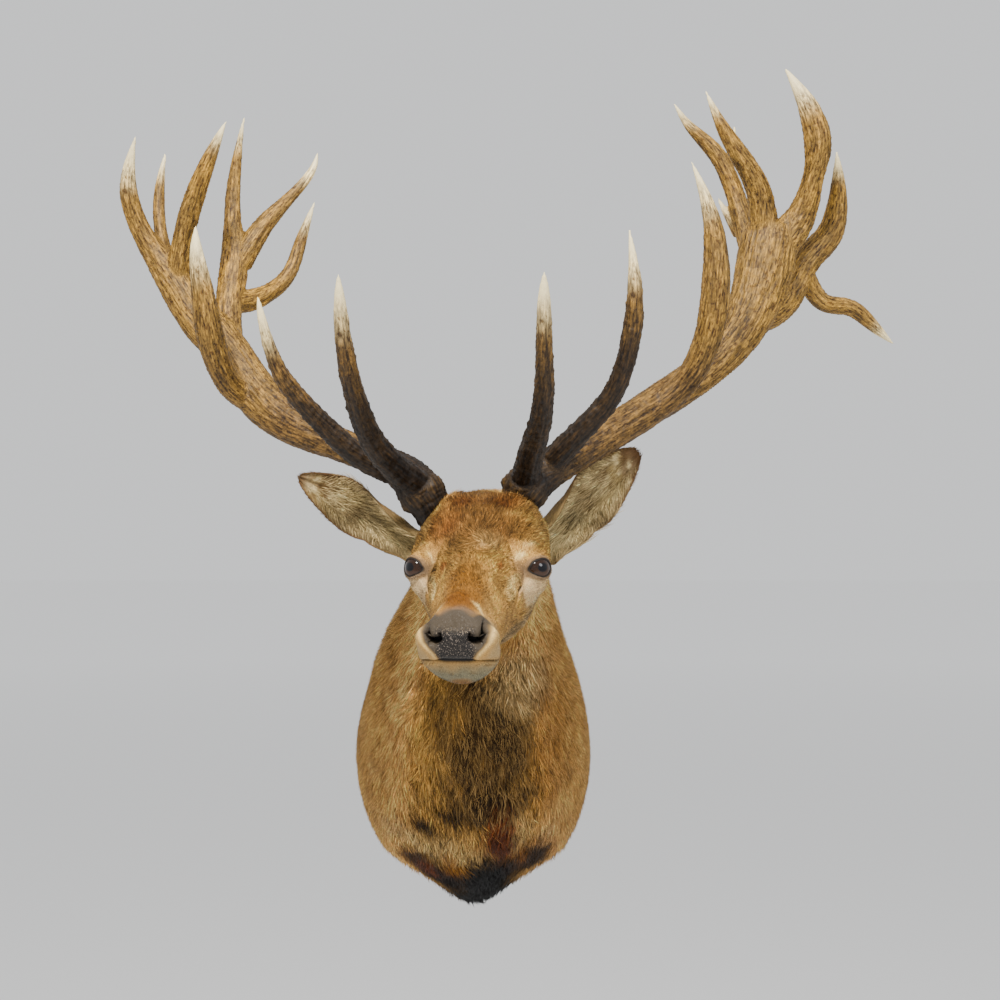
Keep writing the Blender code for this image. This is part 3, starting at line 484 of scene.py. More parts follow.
# markings of skin and coat in millimetres, with their shade and its strength in percent
markings = {
    # on the face: centre in the head's frame, radii; a negative strength stays on one side
    "face": (
        ("forehead", 90, 0, 0, 60, 60, 60, 40), ("redBrown", 75, 28, -75, 55, 20, 22, 20),
        ("crest", 80, 0, -94, 62, 64, 52, 36), ("redBrown", -60, -45, -30, 48, 30, 44, 24),
        ("redBrown", 35, 46, -12, 42, 20, 34, 18), ("paleTan", 35, 66, -50, 26, 10, 30, 16),
        ("bridge", 90, 0, 150, 36, 34, 80, 26), ("orange", 90, 0, 174, 33, 19, 26, 20),
        ("greyPink", 70, 0, 203, 29, 26, 11, 9), ("paleTan", -35, 16.5, 21, 42.5, 14, 18, 16),
        ("paleTan", 15, 7.5, 40, 40, 12, 12, 12), ("redBrown", 90, 31, 60, 22.5, 6, 7, 7),
        ("redBrown", -90, -7.3, 59.4, 37.3, 4.5, 5, 6), ("cream", 45, 45.5, 64, -3, 11, 20, 11),
        ("palePink", 65, 70, 22, -20, 20, 34, 24), ("jowl", 70, 64, 20, -55, 20, 45, 18),
        ("jowl", 70, 45, 60, -70, 30, 60, 24), ("tan", 50, 44, 110, -30, 14, 40, 20),
        ("lip", 90, 40, 190, -10, 12, 30, 20), ("lip", 95, 30, 205, -16, 22, 20, 10),
        ("chin", 100, 0, 190, -48, 60, 40, 26), ("jowl", 80, 0, 120, -64, 50, 60, 16),
        ("bridge", -75, -3, 198, -58, 13, 12, 8), ("jowl", 70, 0, 40, -100, 50, 70, 20),
    ),
    # pale lines on the face: points in the head's frame, each with the line's half width
    "lines": (
        ("cream", 100, ((70, -12, 22, 2.4), (65.7, -7.3, 24.5, 2.4), (57.2, 14.1, 21.5, 2.4),
                        (50.9, 24.7, 16, 2.4), (48, 40, 8, 2.4), (46, 52.2, 2, 2.4))),
        ("cream", 85, ((45.5, 50, 4, 4.4), (43, 64, 0, 4.4), (40, 78, -6, 4.4))),
        ("cream", 70, ((52, 48, -2, 2.6), (50, 62, -10, 2.6))),
        ("cream", 85, ((18, 173, 26.2, 4.2), (25, 180, 20.5, 4.2), (32, 190, 15, 4.2), (37, 200, 8, 4.2),
                       (41, 206, -2, 4.2))),
    ),
    # on the chest, seen from the front: centre sideways and up, radii
    "chest": (
        ("paleTan", 85, -40, -100, 62, 28), ("paleTan", 80, 65, -80, 17, 42), ("jowl", 50, 105, -100, 20, 26),
        ("jowl", 40, -100, -85, 30, 20), ("maneDark", 95, -67, -62, 18, 12), ("maneDark", 95, -22, -41, 24, 11),
        ("chestRed", 100, 40, -80, 19, 50), ("jowl", 70, 63, 134, 38, 42), ("black", 100, 22, -158, 48, 50),
        ("black", 100, 14, -212, 64, 42), ("bridge", 50, 98, 40, 22, 90), ("chestRed", 50, -78, -142, 36, 24),
        ("maneDark", 85, -80, -142, 26, 22), ("maneDark", 100, -46, -166, 38, 32),
        ("chestRed", 80, -62, -156, 20, 18), ("orange", 70, -26, -130, 12, 26),
        ("chestRed", 50, 88, -126, 40, 36), ("maneDark", 95, 84, -142, 34, 30), ("orange", 60, 66, -122, 8, 22),
    ),
    # the dark band of the mane: height, middle, half width
    "mane": ((-63, 34, 24), (-40, 33, 46), (2, 28, 66), (58, 20, 64), (107, 8, 42), (127, 4, 26), (147, 2, 12)),
    "maneTop": (-0.075, -0.050),    # heights where the band starts and is full, in metres
    "maneEdge": (0.55, 1.15),
    "maneMottle": (0.85, 0.55),     # its mean and its spread
    "maneStrength": 0.95,
    "waver": 0.006,                 # how far noise moves the patches' edges
    # broad shades over the golden ground: strength, way round the section with its bounds, then rows
    "broad": (
        ("frontGold", 0.85, "rise", (-0.55, -0.85), (12, 13.5)),
        ("tan", 0.75, "side", (0.55, 0.95), (12, 14.5)),
        ("flank", 0.6, "rise", (-0.3, 0.5), (16, 19.5)),
        ("nape", 0.85, "rise", (0.45, 0.95), (11.5, 14)),
    ),
    "headEnd": (10.8, 12.8),        # rows where the head's own markings fade
    "frontFacing": ((0.05, 0.45), (11.5, 12.5)),    # share of the normal, then rows
    "belowFacing": ((0, 0.35), (15, 17)),
    "faceBell": (0.10, 0.75),       # how sharply a patch of the face ends
    "chestBell": (0.12, 0.70),
    "eyeGrey": (0.80, (1.20, 1.60)),                # strength, then reach round the opening
    "eyeBlack": (1, 1.18),
    # cream edge of the nose pad: strength, distance, width, then bounds forward and sideways
    "padRim": (0.75, 0.003, 0.0038, (0.180, 0.196), (0.019, 0.026)),
    # black of the nostrils, mouth line and tear slit, dark skin with painted shade in these openings: the tear
    # slit's share and the edge of the black
    "tearSkinAndShade": 0.8,
    "skinAndShadeEdge": (0.25, 0.80),
}


def mixed(first, second, share):
    # first and second are colours or names of shades; share is how much of the second shows
    first, second = (shades[tone] if isinstance(tone, str) else tone for tone in (first, second))
    share = np.asarray(share)[..., None]
    return first * (1 - share) + second * share


def skinMarkings():
    # patch after patch mixed over the ground colour, each a soft bell broken up by noise
    world, across, place = skin["rings"], skin["normals"][..., 0], skin["places"][:, None]
    rise = np.sin(skin["angle"])[None, :]
    waver = markings["waver"] * np.stack([noise(world * 45, seed, 2) for seed in (11, 12, 13)], axis=-1)
    shifted, local = world + waver, skin["local"] + waver
    colour, ways = shades["golden"], {"rise": rise, "side": np.abs(across)}
    for shade, strength, way, bounds, rows in markings["broad"]:
        colour = mixed(colour, shade, strength * ease(*bounds, ways[way]) * ease(*rows, place))
    onHead = 1 - ease(*markings["headEnd"], place)
    colour = mixed(colour, "faceGold", onHead)
    for shade, strength, *patch in markings["face"]:
        centre, radii = metres(patch[:3]), metres(patch[3:])
        bell = np.exp(-((((mirrored(local) if strength > 0 else local) - centre) / radii) ** 2).sum(axis=-1))
        colour = mixed(colour, shade, abs(strength) / 100 * ease(*markings["faceBell"], bell) * onHead)
    for shade, strength, line in markings["lines"]:
        colour = mixed(colour, shade, strength / 100 * np.exp(-lineShare(mirrored(local), line) ** 2) * onHead)
    facing, rows = markings["frontFacing"]
    front = ease(*facing, -skin["normals"][..., 1]) * ease(*rows, place)
    height, (levels, middles, halves) = shifted[..., 2], metres(markings["mane"]).T
    middle, half = np.interp(height, levels, middles), np.interp(height, levels, halves, left=0, right=0)
    band = 1 - ease(*markings["maneEdge"], np.abs(shifted[..., 0] - middle) / np.maximum(half, 1e-4))
    mean, spread = markings["maneMottle"]
    mottle = mean + spread * noise(world * (70, 70, 20), 14, 2)
    mane = np.clip(band * mottle, 0, 1) * front * ease(*markings["maneTop"], height)
    colour = mixed(colour, "maneDark", markings["maneStrength"] * mane)
    facing, rows = markings["belowFacing"]
    below = ease(*facing, 1 - np.clip(skin["normals"][..., 2] + 1, 0, 1)) * ease(*rows, place)
    for shade, strength, *patch in markings["chest"]:
        x, z, wide, tall = metres(patch)
        bell = np.exp(-((shifted[..., 0] - x) / wide) ** 2 - ((height - z) / tall) ** 2)
        bell = strength / 100 * ease(*markings["chestBell"], bell)
        colour = mixed(colour, shade, bell * np.clip(front + below, 0, 1))
    return colour, mane


def faceShades(colour):
    # grey round the eyes, a cream edge round the nose pad, and the bare dark skin, black in the nostrils, mouth
    # line and tear slit with painted shade in these openings
    local, masks, lidShare = skin["local"], skin["masks"], skin["lidShare"]
    lateral = np.abs(local[..., 0])
    grey, reach = markings["eyeGrey"]
    colour = mixed(colour, "greyPink", grey * (1 - ease(*reach, lidShare)))
    edge = np.interp(local[..., 2], metres(face["padHeights"]), metres(face["padWidths"]), left=0, right=0)
    strength, away, width, forward, sideways = markings["padRim"]
    rim = np.exp(-((lateral - edge - away) / width) ** 2)
    colour = mixed(colour, "cream", strength * rim * ease(*forward, local[..., 1]) * ease(*sideways, lateral))
    colour = mixed(mixed(colour, "padGrey", masks["pad"]), "pad", masks["pebble"])
    # dark skin of the nostrils, mouth line and tear slit together with painted shade in these openings
    bare = np.maximum.reduce((masks["nostril"], masks["mouth"], masks["tear"] * markings["tearSkinAndShade"]))
    colour = mixed(colour, "black", ease(*markings["skinAndShadeEdge"], bare))
    return mixed(colour, "black", 1 - ease(*markings["eyeBlack"], lidShare))


skin["colour"], skin["mane"] = skinMarkings()
skin["colour"] = faceShades(skin["colour"])
print("skin marked")


def newLook(name, roughness, **sockets):
    # a material with plain values on its shader
    look = bpy.data.materials.new(name)
    look.use_nodes = True
    for socket, value in {"Roughness": roughness, **sockets}.items():
        look.node_tree.nodes["Principled BSDF"].inputs[socket.replace("_", " ")].default_value = value
    return look


def node(look, kind, output, *values, sockets=(), **named):
    # a new node's output; values fill its first sockets, Capital_Names other sockets, small names its settings
    made = look.node_tree.nodes.new("ShaderNode" + kind)
    filled = {**dict(enumerate(values)), **dict(sockets)}
    for name, value in named.items():
        if name[0].isupper():
            filled[name.replace("_", " ")] = value
        else:
            setattr(made, name, value)
    for socket, value in filled.items():
        if isinstance(value, bpy.types.NodeSocket):
            look.node_tree.links.new(value, made.inputs[socket])
        else:
            made.inputs[socket].default_value = value
    return made.outputs[output]


def stored(look, name, output="Fac"):
    # a value kept on the mesh
    return node(look, "Attribute", output, attribute_name=name)


def objectPlace(look):
    # the surface's own place, in metres
    return node(look, "TexCoord", "Object")


def threads(look, place, scale, detail, roughness=0.5):
    # noise drawn out by the scale
    stretched = node(look, "Mapping", "Vector", place, Scale=scale)
    return node(look, "TexNoise", "Fac", stretched, Scale=1, Detail=detail, Roughness=roughness)


def ramp(look, factor, *stops):
    # each stop is a place with its colour
    colour = node(look, "ValToRGB", "Color", factor)
    elements = colour.node.color_ramp.elements
    while len(elements) < len(stops):
        elements.new(0.5)
    for element, (place, *shade) in zip(elements, stops):
        element.position, element.color = place, (*shade, 1)
    return colour


def blended(look, factor, first, second, mode="MIX"):
    # two colours by a factor
    return node(look, "Mix", 2, factor, sockets={6: first, 7: second}, data_type="RGBA", blend_type=mode)


def times(look, first, *others):
    # the product of colours
    for other in others:
        first = blended(look, 1, first, other, "MULTIPLY")
    return first


def finish(look, colour, gloss=None, bump=None):
    # the colour, the roughness and a bump of (height, strength, depth) joined to the shader
    joined = {"Base Color": colour, "Roughness": gloss}
    if bump:
        joined["Normal"] = node(look, "Bump", "Normal", Height=bump[0], Strength=bump[1], Distance=bump[2])
    for socket, output in joined.items():
        if output:
            look.node_tree.links.new(output, look.node_tree.nodes["Principled BSDF"].inputs[socket])
    return look


def skinLook():
    # short flat hair as streaks along the lie, and a pebbled glossy pad where the skin is bare, with painted
    # shade between the pebbles, painted highlights on their tops and painted glints
    look = newLook("skinHide", 0.75, Specular_IOR_Level=0.25)
    colour, bare, middle = stored(look, "coatColour", "Color"), stored(look, "bare"), stored(look, "pebble")
    streak = threads(look, stored(look, "flow", "Vector"), (90, 900, 900), 5, 0.65)
    hair = ramp(look, streak, (0.28, 0.55, 0.50, 0.46), (0.52, 1, 1, 1), (0.75, 1.45, 1.40, 1.30))
    pebble = node(look, "TexVoronoi", "Distance", objectPlace(look), Scale=660, feature="DISTANCE_TO_EDGE")
    cell = node(look, "TexVoronoi", "Color", objectPlace(look), Scale=660)
    # pebbles darker in the gaps between them and lighter on their tops: painted shade and painted highlight
    grain = ramp(look, pebble, (0.02, 0.20, 0.20, 0.20), (0.25, 1.9, 1.85, 1.8))
    # painted glints: bright spots at the middle of some pebbles, multiplied into the pad's colour
    glintChance = node(look, "MapRange", "Result", cell, 0.42, 0.66)
    glintSpot = node(look, "MapRange", "Result", cell.node.outputs["Distance"], 0.42, 0.22)
    paintedGlint = node(look, "Math", 0, glintChance, glintSpot, operation="MULTIPLY")
    paintedGlint = node(look, "Math", 0, paintedGlint, middle, operation="MULTIPLY")
    soft = blended(look, middle, (1, 1, 1, 1), grain)
    padded = times(look, colour, blended(look, paintedGlint, soft, (13, 13, 12.5, 1)))
    rise = node(look, "Mix", 0, bare, sockets={2: streak, 3: pebble})
    return finish(look, blended(look, bare, times(look, colour, hair), padded),
                  node(look, "MapRange", "Result", bare, 0, 1, 0.75, 0.46), (rise, 0.9, 0.0012))


def coatLook():
    # each lock's own shade, with fine flecks over it
    look = newLook("coatHair", 0.62, Specular_IOR_Level=0.10)
    fleck = node(look, "TexNoise", "Fac", objectPlace(look), Scale=420, Detail=2)
    shade = ramp(look, fleck, (0.30, 0.78, 0.76, 0.74), (0.70, 1.20, 1.19, 1.16))
    return finish(look, times(look, stored(look, "coatColour", "Color"), shade))


ears = {
    "left": {"root": (-0.068, -0.415, 0.299), "tip": (-0.217, -0.350, 0.379), "opens": (-0.10, -1, -0.25),
             "halfWidth": 0.0385, "lower": 0.22, "low": 0.01},      # place of the canal; place in the unwrap
    "right": {"root": (0.092, -0.410, 0.299), "tip": (0.218, -0.332, 0.412), "opens": (0.22, -1, -0.22),
              "halfWidth": 0.0455, "lower": -0.22, "low": 0.51},
    "bend": 0.010,
    "stations": 64,
    "columns": 27,                  # across each of the two faces
    "sunk": -0.10,                  # the root runs on into the head
    "spread": (math.radians(125), math.radians(35)),     # half of the arc at the root and at the tip
    "start": 0.22,
    "end": 0.972,                   # blunt tip
    "outlinePower": 0.62,
    "leastLeaf": 0.045,
    "rootWidening": 0.25,
    "flattest": 0.62,
    "wall": 0.0048,
    "coatDepth": 0.0014,
    "rimAngle": math.radians(70),
    "ribs": 0.0009,
    "ribTurn": 9,
    # shades: strength and bounds; all places are shares of the ear's length or half width
    "backFade": (0.7, (0.5, 0)),
    "backRim": (0.75, 1, 0.1),      # bounds and how far noise moves them
    "bowlHair": (-0.3, 0.5),
    "blotches": (0.80, (0.02, 0.50), (0.20, 0.40)),
    "rootHair": (0.75, (0.18, 0.06)),
    # the painted shadow of the canal: its place with its waver, length, width, strength and bounds
    "canalShadow": (0.23, 0.04, 0.090, 0.36, 0.95, (0.15, 0.65)),
    "rim": (0.9, (0.80, 0.95), (0.86, 0.98)),
}


def earSurface(ear):
    # a leaf rolled into a bowl: two arcs of radius halfWidth * leaf / spread, the back and then the bowl
    columns, t = ears["columns"], np.linspace(ears["sunk"], 1, ears["stations"])
    share, root, tip = np.clip(t, 0, 1), np.array(ear["root"]), np.array(ear["tip"])
    axis = unit(tip - root)
    opens = np.array(ear["opens"])
    opens = unit(opens - axis * (opens @ axis))
    side = np.cross(opens, axis)
    leaf = np.sin(math.pi * (ears["start"] + (ears["end"] - ears["start"]) * share))
    leaf = np.maximum(leaf ** ears["outlinePower"], ears["leastLeaf"])
    halfWidth = ear["halfWidth"] * leaf * (1 + ears["rootWidening"] * (1 - share)) - 0.5 * ears["coatDepth"]
    wide, narrow = ears["spread"]
    spread = wide + (narrow - wide) * ease(0, 0.75, share)
    radius = halfWidth * np.maximum(1 / spread, ears["flattest"])
    bow = ears["bend"] * np.sin(math.pi * share)
    middle = root + (tip - root) * t[:, None] - opens * bow[:, None]
    across = np.linspace(-1, 1, columns)
    angles = across[None, :] * spread[:, None]
    wall = np.minimum(ears["wall"] * (1 - 0.5 * share), 0.45 * halfWidth)[:, None]
    wall = wall * np.cos(across * ears["rimAngle"])
    ribs = ears["ribs"] * np.cos(across * ears["ribTurn"])
    ribs = ribs * ease(1, 0.7, np.abs(across)) * ease(0, 0.3, share)[:, None]
    back = radius[:, None] - ears["coatDepth"] * 0.8 + 0 * angles
    reach = np.concatenate((back, (back - wall + ribs)[:, ::-1]), axis=1)
    turn = np.concatenate((angles, angles[:, ::-1]), axis=1)
    deep = (radius[:, None] - reach * np.cos(turn))[..., None]
    rings = middle[:, None] + opens * deep + side * (reach * np.sin(turn))[..., None]
    normals = gridNormals(rings)
    outwards = np.sign((normals[:, :columns] * -opens).sum(axis=-1).mean())
    flat = np.zeros(rings.shape[:2])
    return {"rings": rings, "normals": normals * outwards, "opens": opens, "outwards": outwards,
            "share": share[:, None] + flat, "across": np.concatenate((across, across[::-1])) + flat,
            "inside": np.repeat((0.0, 1.0), columns) + flat, "lengths": rowLengths(rings)}


def earMarkings(surface, lower):
    # brown back, pale grey hair in the bowl, painted shadow of the canal by the head and a brown rim
    across, share, rings = surface["across"], surface["share"], surface["rings"]
    grain = noise(rings * 90, 21, 3)
    strength, bounds = ears["backFade"]
    colour = mixed("earBack", "earInside", strength * ease(*bounds, share))
    low, high, waver = ears["backRim"]
    colour = mixed(colour, "earRim", ease(low, high, share + waver * grain))
    bowl = mixed("earInside", "earHair", ease(*ears["bowlHair"], grain))
    strength, bounds, places = ears["blotches"]
    blotch = ease(*bounds, noise(rings * (60, 60, 34), 25, 3))
    bowl = mixed(bowl, "earRim", strength * blotch * ease(*places, share))
    strength, bounds = ears["rootHair"]
    bowl = mixed(bowl, "earHair", strength * ease(*bounds, share))
    place, waver, long, wide, strength, bounds = ears["canalShadow"]
    canalShadow = np.exp(-((share + waver * grain - place) / long) ** 2 - ((across - lower) / wide) ** 2)
    bowl = mixed(bowl, "canalShadow", strength * ease(*bounds, canalShadow))
    strength, sides, ends = ears["rim"]
    rim = np.maximum(ease(*sides, np.abs(across) + waver * grain), ease(*ends, share))
    return mixed(colour, mixed(bowl, "earRim", strength * rim), surface["inside"])


# places in the flat unwrap for baking, and the size of a tuft in it
unwrap = {
    "bodyWidth": 0.78,
    "bodyEdge": 0.01,
    "earLeft": 0.80,
    "earWidth": 0.19,
    "earHeight": 0.48,
    "tuft": 0.003,
}


def gridUv(lengths, columns, left, width):
    # corner places of gridFaces: share of the turn across, the given lengths up
    row, column = np.divmod(np.arange((len(lengths) - 1) * columns), columns)
    u = left + width * np.stack((column, column + 1, column + 1, column), axis=-1) / columns
    v = np.stack((lengths[row], lengths[row], lengths[row + 1], lengths[row + 1]), axis=-1)
    return np.stack((u, v), axis=-1)


def flowVectors(rings, angle):
    # distance along the rows, and the circle of the row's own girth round them
    girth = np.linalg.norm(np.roll(rings, -1, axis=1) - rings, axis=-1).sum(axis=1)[:, None] / fullTurn
    parts = rowLengths(rings)[:, None], girth * np.cos(angle), girth * np.sin(angle)
    return np.stack(np.broadcast_arrays(*parts), axis=-1)


def backCap(ring):
    # the last ring turned in round the backboard and forward under it
    edge = ring * (1, 0, 1) - (0, skinGrid["backEdge"], 0)
    inner = edge + unit((ring.mean(axis=0) - ring) * (1, 0, 1)) * skinGrid["backInset"]
    return np.array((edge, inner, inner * (1, 0, 1) - (0, skinGrid["backDepth"], 0)))


def bodyPart():
    # the swept rings, the back cap and the two poles, with colour, bareness, flow and unwrap
    rows, columns = skin["rings"].shape[:2]
    full = np.concatenate((skin["rings"], backCap(skin["rings"][-1])))
    tip = fromHead((0, form["headSections"][0][0] / 1000 + form["noseCap"] - form["tipSunk"], 0))
    points = np.concatenate((full.reshape(-1, 3), (tip, full[-1].mean(axis=0))))
    nose, back = len(points) - 2, len(points) - 1
    faces = (gridFaces(len(full), columns), poleFaces(nose, 0, columns, True),
             poleFaces(back, nose - columns, columns))
    lengths = rowLengths(full)
    skin["heights"] = unwrap["bodyEdge"] + (1 - 2 * unwrap["bodyEdge"]) * lengths / lengths[-1]
    uv = gridUv(skin["heights"], columns, 0, unwrap["bodyWidth"])
    even = np.arange(0, columns, 2)
    fan = np.stack((even + 1, even + 2, even + 1, even), axis=-1) / columns * unwrap["bodyWidth"]
    edge = np.array((0, 1, 1, 1)) * unwrap["bodyEdge"]
    ends = [np.stack((fan, np.abs(end - edge) + 0 * fan), axis=-1) for end in (0, 1)]

    def filled(values, fill):
        # the values of the rings, and one value for the points of the cap and the poles
        extra = len(points) - rows * columns
        return np.concatenate((values.reshape(rows * columns, -1), np.tile(fill, (extra, 1))))

    lids = 1 - ease(1, 1.15, skin["lidShare"])
    bare = np.clip(skin["masks"]["pad"] + skin["masks"]["nostril"] + lids, 0, 1)
    flow = flowVectors(skin["rings"], skin["angle"])
    colour = filled(skin["colour"], shades["redBrown"])
    colour[nose] = skin["colour"][0].mean(axis=0)
    return {"points": points, "faces": np.concatenate(faces), "coatColour": colour, "bare": filled(bare, (0,)),
            "pebble": filled(skin["masks"]["pebble"], (0,)), "flow": filled(flow, flow[-1, 0]),
            "OFBake": np.concatenate((uv, *ends))}


def earPart(surface, low):
    # the leaf's rows, with strips between back and bowl that close its two open ends
    rings = surface["rings"]
    rows, columns = rings.shape[:2]
    step, last = np.arange(columns // 2 - 1), (rows - 1) * columns
    across = columns - 1 - step
    root = np.stack((step + 1, step, across, across - 1), axis=-1)
    tip = np.stack((last + step, last + step + 1, last + across - 1, last + across), axis=-1)
    faces = np.concatenate((gridFaces(rows, columns), root, tip))[:, ::int(surface["outwards"])]
    surface["heights"] = low + unwrap["earHeight"] * surface["lengths"] / surface["lengths"][-1]
    uv = gridUv(surface["heights"], columns, unwrap["earLeft"], unwrap["earWidth"])
    ends = np.tile((unwrap["earLeft"], low), (len(faces) - len(uv), 4, 1))
    none = np.zeros((rows * columns, 1))
    flow = flowVectors(rings, np.linspace(0, fullTurn, columns, endpoint=False))
    return {"points": rings.reshape(-1, 3), "faces": faces, "coatColour": surface["colour"].reshape(-1, 3),
            "bare": none, "pebble": none, "flow": flow.reshape(-1, 3), "OFBake": np.concatenate((uv, ends))}


def makeSkin(parts):
    # body and ears in one mesh
    for part, before in zip(parts[1:], parts):
        part["faces"] = part["faces"] + before["faces"].max() + 1
    whole = {key: np.concatenate([part[key] for part in parts]) for key in parts[0]}
    mesh = newMesh("stagSkin", whole.pop("points"), whole.pop("faces"))
    setLayers(mesh, **whole)
    addPiece("stagSkin", mesh, skinLook(),
             ("muzzle", "head", "lower_jaw", "neck", "chest", "ear_left", "ear_right"))
    print("skin made,", len(mesh.polygons), "faces")


earSurfaces = {}
for word in ("left", "right"):
    earSurfaces[word] = earSurface(ears[word])
    earSurfaces[word]["colour"] = earMarkings(earSurfaces[word], ears[word]["lower"])
makeSkin([bodyPart()] + [earPart(earSurfaces[word], ears[word]["low"]) for word in ("left", "right")])


def eyeLook():
    # dark oval pupil, brown iris with radial threads, lighter orange rim below, under clear glass
    look = newLook("eyeGlass", 0.05, Specular_IOR_Level=0.34)
    place = node(look, "UVMap", "UV", uv_map="iris")
    x = node(look, "SeparateXYZ", "X", place)
    y = x.node.outputs["Y"]
    oval = node(look, "VectorMath", 0, place, (1.25, 1.55, 1), operation="MULTIPLY")
    reach = node(look, "VectorMath", "Value", oval, operation="LENGTH")
    whole = node(look, "VectorMath", "Value", place, operation="LENGTH")
    turn = node(look, "Math", 0, y, x, operation="ARCTAN2")
    rays = node(look, "TexNoise", "Fac", node(look, "CombineXYZ", 0, turn, whole), Scale=9, Detail=4)
    brown = ramp(look, rays, (0.30, 0.006, 0.0025, 0.0012), (0.70, 0.026, 0.010, 0.004))
    amber = blended(look, node(look, "MapRange", "Result", y, 0.1, -0.6), brown, (0.050, 0.020, 0.007, 1))
    iris = blended(look, node(look, "MapRange", "Result", reach, 0.36, 0.44), (0.0015, 0.0015, 0.003, 1), amber)
    white = node(look, "MapRange", "Result", whole, 0.72, 0.80)
    return finish(look, blended(look, white, iris, (0.010, 0.006, 0.004, 1)))


def lidLook():
    # dark wrinkled skin
    look = newLook("lidRim", 0.55, Specular_IOR_Level=0.2)
    wrinkle = node(look, "TexNoise", "Fac", objectPlace(look), Scale=900, Detail=3)
    colour = ramp(look, wrinkle, (0.3, 0.004, 0.003, 0.002), (0.75, 0.022, 0.014, 0.010))
    return finish(look, colour, None, (wrinkle, 0.5, 0.0004))


def makeEye(word, side, look):
    # ball of polar rings about the gaze: r = radius + cornea * exp(-(angle / width)^2)
    centre, gaze, inward, upward = eyeFrame(side)
    rows, columns = eye["ballGrid"]
    polar = math.pi * np.linspace(0, 1, rows + 1)[:, None]
    turn = np.linspace(0, fullTurn, columns, endpoint=False)
    reach = eye["radius"] + eye["corneaHeight"] * np.exp(-(polar / eye["corneaAngle"]) ** 2)
    x, y, z = np.sin(polar) * np.cos(turn), np.sin(polar) * np.sin(turn), np.cos(polar) + 0 * turn
    direction = x[..., None] * inward + y[..., None] * upward + z[..., None] * gaze
    faces = gridFaces(rows + 1, columns)
    if np.cross(inward, upward) @ gaze > 0:
        faces = faces[:, ::-1]
    mesh = newMesh("eyeball_" + word, fromHead(centre + direction * reach[..., None]), faces)
    share = np.stack((x, y), axis=-1)
    share[z < 0] = unit(share[z < 0] + 1e-6)
    setLayers(mesh, iris=share.reshape(-1, 2)[faces.ravel()])
    piece = addPiece("eyeball_" + word, mesh, look, ("eye_" + word,))
    piece.modifiers.new("closePoles", "WELD").merge_threshold = 0.00001


def makeLid(word, side, look):
    # a dark rim: a small oval carried round the opening's outline on the glass
    centre, gaze, inward, upward = eyeFrame(side)
    rows, columns = eye["rimGrid"]
    polar, turn = (np.linspace(0, fullTurn, count, endpoint=False) for count in (rows, columns))
    x = eyeReach(polar) * np.cos(polar)
    y = eyeReach(polar) * np.sin(polar) + eye["innerDrop"] * np.clip(x, 0, 1)
    z = np.sqrt(np.clip(1 - x * x - y * y, 0, 1))
    direction = unit(x[:, None] * inward + y[:, None] * upward + z[:, None] * gaze)
    path = centre + direction * (eye["radius"] + eye["rimProud"])
    across = np.cross(direction, unit(np.roll(path, -1, axis=0) - np.roll(path, 1, axis=0)))
    radius = eye["rimRadius"] * (0.70 + 0.45 * ease(-0.2, 0.4, np.sin(polar))[:, None, None])
    oval = np.cos(turn)[:, None] * across[:, None] * 1.5 + np.sin(turn)[:, None] * direction[:, None]
    faces = gridFaces(rows + 1, columns) % (rows * columns)
    mesh = newMesh("lidRim_" + word, fromHead(path[:, None] + oval * radius), faces)
    addPiece("lidRim_" + word, mesh, look)


glass, rimSkin = eyeLook(), lidLook()
for side, word in ((-1, "left"), (1, "right")):
    makeEye(word, side, glass)
    makeLid(word, side, rimSkin)
print("eyes made")


